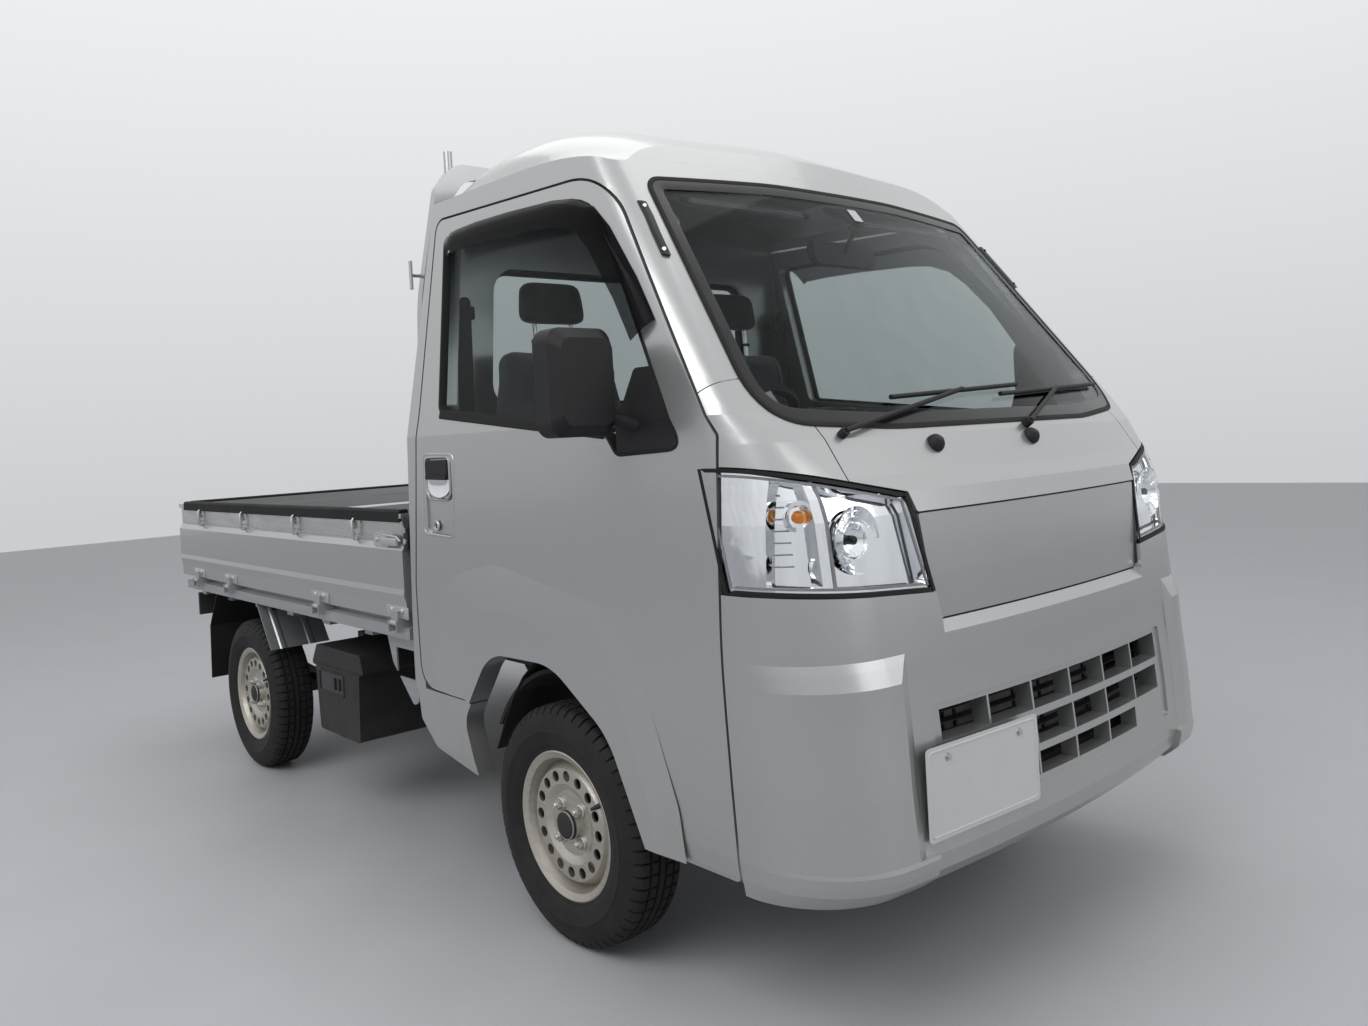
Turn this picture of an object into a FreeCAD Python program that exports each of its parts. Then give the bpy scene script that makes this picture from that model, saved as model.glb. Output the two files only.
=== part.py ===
"""Kei truck with a high roof, a drop-side bed and a guard frame, in millimetres.

+X points forward, +Y to the vehicle's left and +Z up. The origin lies on the ground,
below the centre of the vehicle's box.
"""
import FreeCAD, Part

import functools
import math
import os

import Sketcher

from FreeCAD import Vector

SIZES = {
    # whole vehicle
    "overall_length": 3395,
    "body_width": 1475,
    "roof_height": 1885,
    "wheelbase": 1900,
    "front_overhang": 824.5,
    # wheels
    "tyre_radius": 264,
    "tyre_width": 145,
    "front_track": 1305,
    "rear_track": 1300,
    "bead_radius": 152,
    "flange_radius": 166,
    "rim_width": 112,
    "hub_radius": 44,
    "spindle_radius": 20,
    "running_gap": 0.05,
    "seat_gap": 0.3,
    # cab
    "cab_back": 272,
    "cab_lean": 70,
    "door_seam": 1441,
    "belt_height": 1142,
    "belt_front": 1537,
    "bumper_height": 285,
    "nose_radius": 197,
    "nose_crown": 4800,
    "windshield_run": 380,
    "windshield_rise": 506,
    "tumblehome": 0.16,
    "wall": 50,
    "roof_wall": 28,
    "skin": 8,
    "glass_thickness": 5,
    "panel_gap": 6,
    "seam_gap": 3,
    # bed
    "bed_front": 240,
    "bed_width": 1394,
    "bed_height": 655,
    "gate_height": 285,
    "gate_thickness": 32,
    "gate_gap": 6,
    "hinge_drop": 7,
    # frame
    "rail_spacing": 740,
    "rail_width": 50,
    "rail_height": 90,
    "rail_top": 575,
    # steering
    "kingpin_reach": 1150,
    "kingpin_angle": 8,
    "column_angle": 38,
    # shared overrun of every cut
    "overrun": 20,
    # door hinges
    "hinge_ahead": 20,
    "hinge_inset": 18,
    "hinge_height": 34,
    "hinge_arm": 8,
    "hinge_ear": 8,
    "knuckle_radius": 6,
    "pin_radius": 3,
    "pillar_depth": 90,
    "pillar_clearance": 14,
    "pillar_length": 62,
    "pillar_cap": 40,
    "cap_inset": 24,
    # door details
    "flare_rise": 6,
    "recess_depth": 5,
    "mirror_place_share": 0.772,
    "mirror_height_share": 1.067,
    "mirror_reach": 105,
    "mirror_depth": 70,
    "mirror_width": 150,
    "mirror_height": 204,
    "mirror_arm": 14,
    "mirror_taper": 24,
    # nose
    "grille_bar": 6,
    "grille_depth": 40,
    "grille_reach": 120,
    "grille_recess": 5,
    "block_rise": 12,
    "block_start": 34,
    "lip_rise": 14,
    "panel_recess": 14,
    "ledge_depth": 22,
    "lens": 4,
    "lens_recess": 2,
    "lamp_depth": 60,
    "tray_depth": 26,
    "inner_skin": 14,
    "pillar_groove": 3,
    # gates and bed
    "gate_lift": 2,
    "hinge_out": 10,
    "gate_knuckle": 7,
    "gate_knuckle_length": 40,
    "gate_pin": 4,
    "gate_ear": 5,
    "hinge_leaf": 24,
    "ear_drop": 24,
    "hook_wire": 3.5,
    "hook_height": 44,
    "hook_reach": 16,
    "bed_floor": 14,
    "sill_width": 50,
    "sill_count": 7,
    "bed_rail_drop": 30,
    "rail_inset": 5,
    "step_length": 190,
    "step_height": 190,
    "step_inset": 20,
    "step_plate": 5,
    "guard_tube": 38,
    "guard_depth": 24,
    "board_depth": 14,
    "horn_radius": 12,
    "horn_height": 70,
    "guard_hook": 5,
    # running gear
    "rear_beam": 14,
    "leaf_spacing": 960,
    "leaf_width": 50,
    "leaf_length": 960,
    "leaf_depth": 22,
    "leaf_eye": 22,
    "axle_tube": 34,
    "diff_radius": 92,
    "drum_width": 40,
    "drum_radius": 108,
    "disc_thickness": 12,
    "disc_radius": 90,
    "spindle_reach": 50,
    "ball_drop": 100,
    "ball_length": 34,
    "ball_pin": 8,
    "arm_width": 44,
    "arm_depth": 22,
    "strut_height": 320,
    "strut_tube": 200,
    "strut_radius": 19,
    "strut_rod": 9,
    "vent_radius": 12,
    "vent_count": 16,
    # cab floor and seats
    "mount_height": 10,
    "cab_mount": 60,
    "floor_skin": 10,
    "toe_gap": 12,
    "house_gap": 66,
    "house_clearance": 5,
    "house_edge": 10,
    "tower_depth": 24,
    "seat_spacing": 690,
    "seat_width": 490,
    "seat_set": 150,
    "seat_length": 480,
    "seat_base": 130,
    "seat_depth": 110,
    "backrest_height": 520,
    "headrest_height": 170,
    "post_radius": 6,
    "wheel_place_share": 0.693,
    "wheel_height_share": 0.95,
    "wheel_hub": 26,
    "column_length": 520,
    "column_radius": 27,
    "shaft_radius": 10,
    "steering_radius": 185,
    "grip_radius": 13,
    "spoke_radius": 9,
    # under the cab and the bed
    "engine_gap": 60,
    "engine_height": 240,
    "radiator_depth": 34,
    "radiator_height": 220,
    "tank_back": 500,
    "tank_front": 60,
    "tank_low": 300,
    "tank_out": 640,
    "tank_drop": 9,
    "box_back": 486,
    "box_length": 372,
    "box_low": 245,
    "box_height": 267,
    "box_out": 705,
    "muffler_radius": 55,
    "pipe_radius": 20,
    "guard_in": 520,
    "guard_sheet": 5,
    "tail_lamp_depth": 18,
    "tail_lamp_height": 74,
    "wiper_lift": 9,
    "wiper_arm": 5,
    "blade_radius": 5,
}

doc = FreeCAD.newDocument("KeiTruck")
sheet = doc.addObject("Spreadsheet::Sheet", "Sizes")


class Size(float):
    """A number that remembers the expression it was worked out with."""

    def __new__(cls, value, text=None):
        size = float.__new__(cls, value)
        size.text = text or repr(float(value))
        return size

    def joined(self, other, value, mark):
        right = other.text if isinstance(other, Size) else repr(float(other))
        return Size(value, f"({self.text} {mark} {right})")

    def __add__(self, other):
        return self.joined(other, float(self) + float(other), "+")

    def __radd__(self, other):
        return self + other

    def __sub__(self, other):
        return self.joined(other, float(self) - float(other), "-")

    def __rsub__(self, other):
        return Size(other) - self

    def __mul__(self, other):
        return self.joined(other, float(self) * float(other), "*")

    def __rmul__(self, other):
        return self * other

    def __truediv__(self, other):
        return self.joined(other, float(self) / float(other), "/")

    def __neg__(self):
        return self * -1


def fill_sheet():
    """Write every driving size into its own named cell."""
    for row, (name, value) in enumerate(SIZES.items(), start=1):
        sheet.set(f"A{row}", name)
        sheet.set(f"B{row}", str(value))
        sheet.setAlias(f"B{row}", name)
    doc.recompute()


def cell(name):
    """Read one driving size, with the expression that names its cell."""
    return Size(float(sheet.get(name)), f"Sizes.{name}")


fill_sheet()

half_length = cell("overall_length") / 2
half_width = cell("body_width") / 2
roof_height = cell("roof_height")
front_axle = half_length - cell("front_overhang")
rear_axle = front_axle - cell("wheelbase")
tyre_radius = cell("tyre_radius")
cab_back = cell("cab_back")
door_seam = cell("door_seam")
belt_height = cell("belt_height")
belt_front = cell("belt_front")
bumper_height = cell("bumper_height")
wall = cell("wall")
skin = cell("skin")
overrun = cell("overrun")
panel_gap = cell("panel_gap")
seam_gap = cell("seam_gap")
running_gap = cell("running_gap")
seat_gap = cell("seat_gap")
bed_front = cell("bed_front")
bed_height = cell("bed_height")
gate_height = cell("gate_height")
gate_gap = cell("gate_gap")
gate_thickness = cell("gate_thickness")
rail_top = cell("rail_top")
rail_height = cell("rail_height")
rail_width = cell("rail_width")
spindle_radius = cell("spindle_radius")

nodes = []


def keep(thing, label):
    """Give a finished sub-part its name and put it on the list to export."""
    thing.Label = label
    nodes.append(thing)
    return thing


def solid(label, shape, place=None):
    """Add a sub-part whose shape was worked out from the sheet."""
    feature = doc.addObject("Part::Feature", label)
    feature.Shape = shape
    feature.Placement = place or FreeCAD.Placement()
    return keep(feature, label)


def bind(thing, **sizes):
    """Tie properties of a primitive to the sheet."""
    for name, size in sizes.items():
        text = size.text if isinstance(size, Size) else repr(float(size))
        thing.setExpression(name.replace("_", "."), text)


def box(name, low, high):
    """Add a block between two corners."""
    block = doc.addObject("Part::Box", name)
    bind(
        block,
        Length=high[0] - low[0],
        Width=high[1] - low[1],
        Height=high[2] - low[2],
        Placement_Base_x=low[0],
        Placement_Base_y=low[1],
        Placement_Base_z=low[2],
    )
    return block


# Outlines


def rounded(points):
    """Make a closed flat wire from corners given as (x, y) or (x, y, radius)."""
    spots = [Vector(p[0], p[1], 0) for p in points]
    ends = []
    for index, point in enumerate(points):
        here = spots[index]
        radius = float(point[2]) if len(point) > 2 else 0
        before = (spots[index - 1] - here).normalize()
        after = (spots[(index + 1) % len(spots)] - here).normalize()
        if radius == 0:
            ends.append((here, None, here))
            continue
        half = before.getAngle(after) / 2
        reach = radius / math.tan(half)
        middle = (before + after).normalize()
        crest = here + middle * (radius / math.sin(half) - radius)
        ends.append((here + before * reach, crest, here + after * reach))
    edges = []
    for index, (start, crest, end) in enumerate(ends):
        if crest:
            edges.append(Part.Arc(start, crest, end).toShape())
        following = ends[(index + 1) % len(ends)][0]
        if end.distanceToPoint(following) > 1e-6:
            edges.append(Part.LineSegment(end, following).toShape())
    return Part.Wire(edges)


QUARTER_TURN = 90
THIRD_TURN = 120
FULL_TURN = 360
# the axis and angle that stand a flat shape up in each view, and the way it is extruded
VIEWS = {
    "side": (Vector(1, 0, 0), QUARTER_TURN, Vector(0, 1, 0)),
    "front": (Vector(1, 1, 1), THIRD_TURN, Vector(1, 0, 0)),
    "top": (Vector(0, 0, 1), 0, Vector(0, 0, 1)),
}


def stand(shape, depth, view):
    """Stand a flat shape up in its view, at one depth."""
    axis, angle, away = VIEWS[view]
    shape = shape.copy()
    shape.rotate(Vector(), axis, angle)
    shape.translate(away * float(depth))
    return shape


def swept(face, low, high, view):
    """Extrude a flat face in its view from low to high."""
    return stand(face, low, view).extrude(VIEWS[view][2] * float(high - low))


def prism(points, low, high, view="side"):
    """Extrude an outline drawn in the side, front or top view from low to high."""
    return swept(Part.Face(rounded(points)), low, high, view)


def tapered(sections, view):
    """Join outlines, each at its own depth, with straight sides."""
    return Part.makeLoft([stand(rounded(points), depth, view) for points, depth in sections], True, True)


def block(low, high):
    """Make a plain block shape between two corners."""
    size = Vector(high[0] - low[0], high[1] - low[1], high[2] - low[2])
    shape = Part.makeBox(size.x, size.y, size.z)
    shape.translate(Vector(*low))
    return shape


def bar(start, end, radius):
    """Make a round bar shape between two points."""
    way = Vector(*end) - Vector(*start)
    return Part.makeCylinder(radius, way.Length, Vector(*start), way)


def merge(shapes):
    """Fuse shapes and clean the seams between them."""
    shapes = list(shapes)
    return shapes[0].fuse(shapes[1:]).removeSplitter()


def mirrored(shape):
    """Return the same shape on the other side of the vehicle."""
    return shape.mirror(Vector(), Vector(0, 1, 0))


def both_sides(shape):
    """Return a shape with its mirror twin, as solids that don't touch."""
    return Part.makeCompound([shape, mirrored(shape)])


# Cab skin

# height share of the belt, forward share of the belt front, half-width share, corner share, crown share
NOSE_SHARES = [
    (0.250, 1.0800, 0.980, 0.94, 1.00),
    (0.278, 1.1000, 0.988, 0.97, 1.00),
    (0.306, 1.1044, 0.992, 0.99, 1.00),
    (0.420, 1.1000, 0.996, 1.00, 1.00),
    (0.530, 1.0925, 0.998, 1.00, 1.00),
    (0.604, 1.0900, 0.998, 1.00, 1.00),
    (0.728, 1.0820, 0.998, 1.00, 1.00),
    (0.828, 1.0742, 0.998, 1.00, 1.00),
    (0.863, 1.0665, 0.998, 0.98, 0.98),
    (0.890, 1.0530, 0.998, 0.86, 0.94),
    (0.952, 1.0270, 0.998, 0.60, 0.82),
    (1.000, 1.0000, 0.998, 0.284, 0.716),
]


# the windshield and its pillars start from the nose's own top edge
pillar_radius = NOSE_SHARES[-1][3] * cell("nose_radius")
glass_crown = NOSE_SHARES[-1][4] * cell("nose_crown")


def plan_wire(height, front, half, corner, crown, back, inset):
    """Outline the cab in plan at one height: straight sides, round corners, crowned front."""
    half = half - inset
    front = front - inset
    corner = max(corner - inset, float(seam_gap))
    crown = crown - inset
    back = back + inset
    centre = front - crown
    swing = math.sqrt((crown - corner) ** 2 - (half - corner) ** 2)
    hub = Vector(centre + swing, half - corner, 0)
    away = (hub - Vector(centre, 0, 0)).normalize()
    touch = Vector(centre, 0, 0) + away * crown
    side = Vector(hub.x, half, 0)
    bend = hub + ((touch - hub).normalize() + Vector(0, 1, 0)).normalize() * corner
    rear = Vector(back, half, 0)

    def other(point):
        return Vector(point.x, -point.y, 0)

    wire = Part.Wire([
        Part.LineSegment(rear, side).toShape(),
        Part.Arc(side, bend, touch).toShape(),
        Part.Arc(touch, Vector(front, 0, 0), other(touch)).toShape(),
        Part.Arc(other(touch), other(bend), other(side)).toShape(),
        Part.LineSegment(other(side), other(rear)).toShape(),
        Part.LineSegment(other(rear), rear).toShape(),
    ])
    wire.translate(Vector(0, 0, height))
    return wire


def back_at(height):
    """Where the cab's back wall lies at one height: it leans forward above the bed floor."""
    rise = max(0.0, float(height - bed_height)) / float(roof_height - bed_height)
    return cab_back + cell("cab_lean") * rise


@functools.lru_cache(maxsize=None)
def lower_cab(inset=0):
    """The cab below the belt, as a full solid inset from its skin."""
    wires = []
    for height, front, half, corner, crown in NOSE_SHARES:
        level = height * belt_height
        wires.append(plan_wire(
            level,
            front * belt_front,
            half * half_width,
            corner * cell("nose_radius"),
            crown * cell("nose_crown"),
            back_at(level),
            inset,
        ))
    return Part.makeLoft(wires, True, True)


@functools.lru_cache(maxsize=None)
def greenhouse(inset=0):
    """The cab above the belt, as a solid that runs on above the roof."""
    wires = []
    top = roof_height + overrun
    for level in (belt_height, top):
        rise = level - belt_height
        wires.append(plan_wire(
            level,
            belt_front - rise * cell("windshield_run") / cell("windshield_rise"),
            half_width * NOSE_SHARES[-1][2] - rise * cell("tumblehome"),
            pillar_radius,
            glass_crown + rise,
            back_at(level),
            inset,
        ))
    return Part.makeLoft(wires, True, True)


# forward share of the belt front, then height shares of the roof: gutter, crest, centre
ROOF_SHARES = [
    (0.180, 0.9280, 0.9380, 0.9520),
    (0.228, 0.9284, 0.9580, 0.9780),
    (0.293, 0.9276, 0.9750, 0.9930),
    (0.364, 0.9268, 0.9788, 1.0000),
    (0.442, 0.9257, 0.9772, 0.9995),
    (0.553, 0.9220, 0.9618, 0.9841),
    (0.631, 0.9135, 0.9420, 0.9629),
    (0.720, 0.8930, 0.9050, 0.9240),
    (0.774, 0.8720, 0.8780, 0.8930),
    (0.846, 0.8350, 0.8400, 0.8480),
    (1.100, 0.7300, 0.7300, 0.7300),
]
# how far out the gutter, channel, shoulder, crest and flat of the roof lie, of half the width
ROOF_WIDTH_SHARES = (0.865, 0.815, 0.770, 0.705, 0.450)


@functools.lru_cache(maxsize=None)
def roof_form(inset=0):
    """The roof as a full solid: a gutter along each side and a raised crown between them."""
    wires = []
    base = belt_height - overrun
    side = half_width + overrun
    rim, channel, shoulder, crest, flat = [share * half_width for share in ROOF_WIDTH_SHARES]
    for forward, gutter_share, crest_share, top_share in ROOF_SHARES:
        gutter = gutter_share * roof_height - inset
        raised = crest_share * roof_height - inset
        top = top_share * roof_height - inset
        half_rise = (gutter + raised) / 2
        slope = (raised * 2 + top * 3) / 5
        right = [
            (rim, gutter),
            (channel, gutter),
            (shoulder, half_rise),
            (crest, raised),
            (flat, slope),
        ]
        points = [Vector(0, y, z) for y, z in right]
        points += [Vector(0, 0, top)]
        points += [Vector(0, -y, z) for y, z in reversed(right)]
        curve = Part.BSplineCurve()
        curve.interpolate(points)
        wire = Part.Wire([
            Part.LineSegment(Vector(0, -side, base), Vector(0, side, base)).toShape(),
            Part.LineSegment(Vector(0, side, base), Vector(0, side, gutter)).toShape(),
            Part.LineSegment(Vector(0, side, gutter), points[0]).toShape(),
            curve.toShape(),
            Part.LineSegment(points[-1], Vector(0, -side, gutter)).toShape(),
            Part.LineSegment(Vector(0, -side, gutter), Vector(0, -side, base)).toShape(),
        ])
        wire.translate(Vector(forward * belt_front, 0, 0))
        wires.append(wire)
    return Part.makeLoft(wires, True, False)


@functools.lru_cache(maxsize=None)
def cab_form(inset=0, roof_inset=0):
    """The cab above the belt with its roof."""
    return greenhouse(inset).common(roof_form(roof_inset))


# Side outlines, as shares of the belt's front edge forward and of the belt height upward


def side_points(shares):
    """Turn shares of the cab's side view into corners."""
    return [(x * belt_front, z * belt_height, r * belt_height) for x, z, r in shares]


DOOR_SHARES = [
    (0.2010, 0.4340, 0.053),
    (0.1990, 0.6600, 0.260),
    (0.2330, 1.0500, 0.350),
    (0.2360, 1.4880, 0.026),
    (0.6950, 1.4580, 0.220),
    (0.9340, 0.9680, 0.010),
    (0.9240, 0.6300, 1.300),
    (0.9325, 0.2690, 0.010),
    (0.5000, 0.2690, 0.000),
    (0.3520, 0.4340, 0.053),
]
WINDOW_SHARES = [
    (0.2990, 1.0510, 0.022),
    (0.2680, 1.4420, 0.022),
    (0.6720, 1.4250, 0.166),
    (0.8790, 0.9500, 0.022),
    (0.7550, 0.9430, 0.022),
    (0.7350, 0.9800, 0.030),
]
SILL_SHARES = [
    (0.1880, 0.3560, 0.009),
    (0.1820, 0.4290, 0.009),
    (0.3560, 0.4290, 0.035),
    (0.4200, 0.2690, 0.000),
    (0.3500, 0.2720, 0.009),
    (0.2350, 0.3010, 0.009),
]
# corners of the wheel arch, in tyre radii from the wheel centre, with their rounding
ARCH_SHARES = [
    (1.210, -0.600, 0.00),
    (1.210, 0.130, 0.10),
    (0.810, 0.930, 0.70),
    (0.100, 1.380, 0.70),
    (-0.850, 1.360, 0.50),
    (-1.380, 0.660, 0.23),
    (-1.210, 0.150, 0.04),
    (-1.210, -0.600, 0.00),
]
FLARE_SHARES = [
    (1.600, -0.600, 0.00),
    (1.450, 0.500, 0.50),
    (0.980, 1.750, 0.60),
    (-0.650, 2.020, 0.90),
    (-1.520, 1.850, 0.60),
    (-1.850, 0.500, 0.10),
    (-1.850, -0.600, 0.00),
]
# how much larger the swelling's foot is, and how much smaller its top
FLARE_FOOT_SHARE = 0.08
FLARE_TOP_SHARE = -0.12
# the recess round the door's handle
RECESS_SHARES = [(0.2505, 0.779, 0.02), (0.2505, 0.9545, 0.02), (0.3350, 0.9545, 0.02), (0.3350, 0.779, 0.02)]


def wheel_outline(shares, grow=0):
    """Place an outline round the front wheel."""
    reach = tyre_radius * (1 + grow)
    return [(front_axle + x * reach, tyre_radius + z * reach, r * tyre_radius) for x, z, r in shares]


def door_outline():
    return prism(side_points(DOOR_SHARES), 0, half_width + wall)


def door_opening():
    """The hole in the cab's side: the door grown by the gap round it."""
    face = Part.Face(rounded(side_points(DOOR_SHARES)))
    wider = face.makeOffset2D(float(panel_gap), 0, False, False, False)
    return swept(wider, 0, half_width + wall, "side").cut(back_core())


def back_core(grow=0):
    """The back wall's own share of the cab's rear corners, which the doors stay out of."""
    half = half_width - wall + grow
    rise = roof_height - belt_height
    points = [(-half, 0), (-half, belt_height), (-half + rise * cell("tumblehome"), roof_height),
              (half - rise * cell("tumblehome"), roof_height), (half, belt_height), (half, 0)]
    return prism(points, 0, cab_back + cell("cab_lean") + wall + grow, "front")


def arch_cut(low):
    return prism(wheel_outline(ARCH_SHARES), low, half_width + wall)


outer_lower = lower_cab()
inner_lower = lower_cab(wall)
outer_upper = cab_form()
inner_upper = cab_form(wall, cell("roof_wall"))
full_half = half_width + wall
middle_half = half_width / 2
skin_half = half_width * NOSE_SHARES[-1][2]
sky = roof_height * 2
side_slab = block((0, middle_half, 0), (half_length, full_half, sky))


def across(low, high):
    """A block over the whole width, from one place in the side view to another."""
    return block((low[0], -full_half, low[1]), (high[0], full_half, high[1]))


def largest(shape):
    """Keep the biggest solid, where a cut left slivers."""
    return max(shape.Solids, key=lambda piece: piece.Volume)


def front_points(shares):
    """Turn shares of the half width and the belt height into corners of the front view."""
    return [(y * half_width, z * belt_height, r * belt_height) for y, z, r in shares]


def mirrored_shares(shares):
    """Close a half outline, given from the bottom up, with its mirror twin."""
    return list(shares) + [(-y, z, r) for y, z, r in reversed(shares)]


def cab_wall():
    """The whole hollow cab behind the door's front seam, before its panels are split."""
    lower = outer_lower.common(across((0, 0), (door_seam, belt_height)))
    outer = lower.fuse(outer_upper)
    hollow = inner_lower.common(across((0, 0), (belt_front * 2, belt_height)))
    return outer.cut(hollow.fuse(inner_upper))


whole_wall = cab_wall()

# Doors

PANE_DEPTH_SHARE = 0.30
HINGE_HEIGHT_SHARES = (0.40, 0.66)


def hinge_places():
    """Where the left door's hinge line stands and how high its two hinges sit."""
    along = door_seam + cell("hinge_ahead")
    out = half_width - cell("hinge_inset")
    return along, out, [share * belt_height for share in HINGE_HEIGHT_SHARES]


def door_hinges():
    """Curved arms that carry the left door from knuckles inside the nose."""
    along, out, heights = hinge_places()
    knuckle = cell("knuckle_radius")
    arm = cell("hinge_arm")
    reach = half_width - wall + arm / 2
    pieces = []
    for middle in heights:
        low = middle - cell("hinge_height") / 2
        high = middle + cell("hinge_height") / 2
        hub = bar((along, out, low), (along, out, high), knuckle)
        neck = block((along - arm / 2, reach - arm, low), (along + arm / 2, out, high))
        strap = block((door_seam - wall, reach - arm, low), (along + arm / 2, reach, high))
        bore_radius = cell("pin_radius") + running_gap
        bore = bar((along, out, low - overrun), (along, out, high + overrun), bore_radius)
        pieces.append(hub.fuse([neck, strap]).cut(bore))
    return pieces


def flare():
    """The soft swelling round the wheel arch of the left door."""
    swelling = tapered([
        (wheel_outline(FLARE_SHARES, FLARE_FOOT_SHARE), skin_half - seat_gap),
        (wheel_outline(FLARE_SHARES, FLARE_TOP_SHARE), skin_half + cell("flare_rise")),
    ], "side")
    return swelling.common(door_outline()).common(across((0, 0), (door_seam, belt_height)))


def door_shape():
    """The left door: a closed panel with its window, handle recess and wheel arch cut out."""
    panel = whole_wall.common(door_outline()).common(side_slab)
    panel = panel.cut(back_core(panel_gap)).fuse(flare())
    panel = panel.cut(prism(side_points(WINDOW_SHARES), 0, full_half))
    panel = panel.cut(prism(side_points(RECESS_SHARES), skin_half - cell("recess_depth"), full_half))
    panel = largest(panel.cut(arch_cut(0)))
    return merge([panel] + door_hinges())


def skin_band(outer, inner):
    """The layer of the whole cab between two insets from its skin."""
    full = cab_form(outer).fuse(lower_cab(outer))
    return full.cut(cab_form(inner).fuse(lower_cab(inner)))


def door_glass():
    """The pane in the left door, set back from the door's skin."""
    depth = wall * PANE_DEPTH_SHARE
    pane = skin_band(depth, depth + cell("glass_thickness"))
    return largest(pane.common(prism(side_points(WINDOW_SHARES), middle_half, full_half)))


MIRROR_SHARES = [
    (0.9000, 0.9300, 0.000),
    (0.9000, 1.0900, 0.000),
    (0.7850, 1.0900, 0.010),
    (0.7550, 0.9900, 0.010),
    (0.7550, 0.9300, 0.000),
]
# corner rounding and front face of the mirror's head
# then where its arm starts and ends, of its height and width
HEAD_ROUND_SHARE = 0.20
HEAD_FACE_SHARE = 0.80
ARM_FOOT_SHARE = 0.42
ARM_TIP_SHARES = (0.35, 0.30)


def head_outline(out, middle, wide, tall):
    """The mirror's head in the front view."""
    corner = wide * HEAD_ROUND_SHARE
    half, rise = wide / 2, tall / 2
    return [
        (out - half, middle - rise, corner), (out + half, middle - rise, corner),
        (out + half, middle + rise, corner), (out - half, middle + rise, corner),
    ]


def mirror():
    """The left mirror: a plate in the window's corner, an arm and a head that tapers forward."""
    depth = wall * PANE_DEPTH_SHARE
    plate = skin_band(0, depth - seat_gap).common(prism(side_points(MIRROR_SHARES), 0, full_half))
    plate = plate.common(prism(side_points(WINDOW_SHARES), 0, full_half))
    plate = largest(plate.common(side_slab))
    head_x = belt_front * cell("mirror_place_share")
    out = half_width + cell("mirror_reach")
    middle = belt_height * cell("mirror_height_share")
    deep, wide, tall = cell("mirror_depth"), cell("mirror_width"), cell("mirror_height")
    near, far = head_x - deep / 2, head_x + deep / 2
    full = head_outline(out, middle, wide, tall)
    face = head_outline(out, middle, wide * HEAD_FACE_SHARE, tall * HEAD_FACE_SHARE)
    head = tapered([(full, near), (full, far - cell("mirror_taper")), (face, far)], "front")
    foot = (far, half_width - skin, middle - tall * ARM_FOOT_SHARE)
    tip = (head_x, out - wide * ARM_TIP_SHARES[0], middle - tall * ARM_TIP_SHARES[1])
    return merge([plate, bar(foot, tip, cell("mirror_arm")), head])


door_left = door_shape()
glass_left = door_glass()
mirror_left = mirror()
solid("door_left", door_left)
solid("door_right", mirrored(door_left))
solid("door_glass_left", glass_left)
solid("door_glass_right", mirrored(glass_left))
solid("mirror_left", mirror_left)
solid("mirror_right", mirrored(mirror_left))

# Cab shell, roof and back

WINDSHIELD_SHARES = [
    (0.500, 0.966, 1.000),
    (0.905, 0.985, 0.085),
    (0.785, 1.446, 0.040),
    (0.300, 1.462, 1.500),
]
BACK_WINDOW_SHARES = [(0.68, 1.06, 0.06), (0.66, 1.39, 0.06)]
ROOF_LINE_SHARE = 0.9040
BACK_EDGE_SHARE = 0.80


# how far forward of the frame's centre the windshield's, the nose's and the back window's outlines reach
GLASS_REACH_SHARE = 0.6
NOSE_REACH_SHARE = 0.8
BACK_REACH_SHARE = 0.5
glass_start = belt_front * GLASS_REACH_SHARE
nose_start = belt_front * NOSE_REACH_SHARE
nose_end = half_length + overrun


def windshield_outline():
    points = front_points(mirrored_shares(WINDSHIELD_SHARES))
    return prism(points, glass_start, half_length, "front")


def back_window_outline():
    points = front_points(mirrored_shares(BACK_WINDOW_SHARES))
    return prism(points, 0, belt_front * BACK_REACH_SHARE, "front")


def windshield():
    """The pane between the pillars, flush with their skin."""
    depth = cell("glass_thickness")
    band = greenhouse().fuse(outer_lower).cut(greenhouse(depth).fuse(lower_cab(depth)))
    return largest(band.common(windshield_outline()))


def back_zone():
    """The stretch of the back wall between the rear corners."""
    edge = half_width * BACK_EDGE_SHARE
    deep = cab_back + cell("cab_lean") + wall
    return block((0, -edge, rail_top + overrun), (deep, edge, roof_height * ROOF_LINE_SHARE))


def roof_zone():
    """Everything above the door rings."""
    return across((0, roof_height * ROOF_LINE_SHARE), (belt_front, sky))


# the space of the nose in the side view, up to the belt
FRONT_ZONE_SHARES = [
    (0.9365, 0.15, 0), (0.9365, 0.272, 0), (0.800, 0.272, 0), (0.800, 1.0, 0), (1.2, 1.0, 0), (1.2, 0.15, 0),
]
LAMP_SHARES = [(0.5500, 0.7035, 0.004), (1.1000, 0.7277, 0), (1.1000, 0.9310, 0), (0.5940, 0.8580, 0.004)]
NOSE_PANEL_SHARES = [(0.5350, 0.6570, 0.016), (0.5720, 0.8266, 0.004)]
COWL_SHARES = [(0.577, 0.830, 0.004), (0.588, 0.8625, 0.004), (1.100, 0.934, 0), (1.100, 1.0, 0)]
COWL_EDGE_SHARE = 0.758
CORNER_SHARES = [(0.762, 0.8868, 0), (1.100, 0.934, 0), (1.100, 1.0, 0), (0.762, 1.0, 0)]
BUMPER_SHARES = [(1.100, 0.200, 0), (1.100, 0.725, 0), (0.533, 0.7005, 0.004), (0.579, 0.8285, 0.004)]


def nose_zone():
    """Everything ahead of the doors, below the belt."""
    zone = prism(side_points(FRONT_ZONE_SHARES), -full_half, full_half)
    return zone.cut(door_opening()).cut(mirrored(door_opening()))


front_space = nose_zone()


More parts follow.
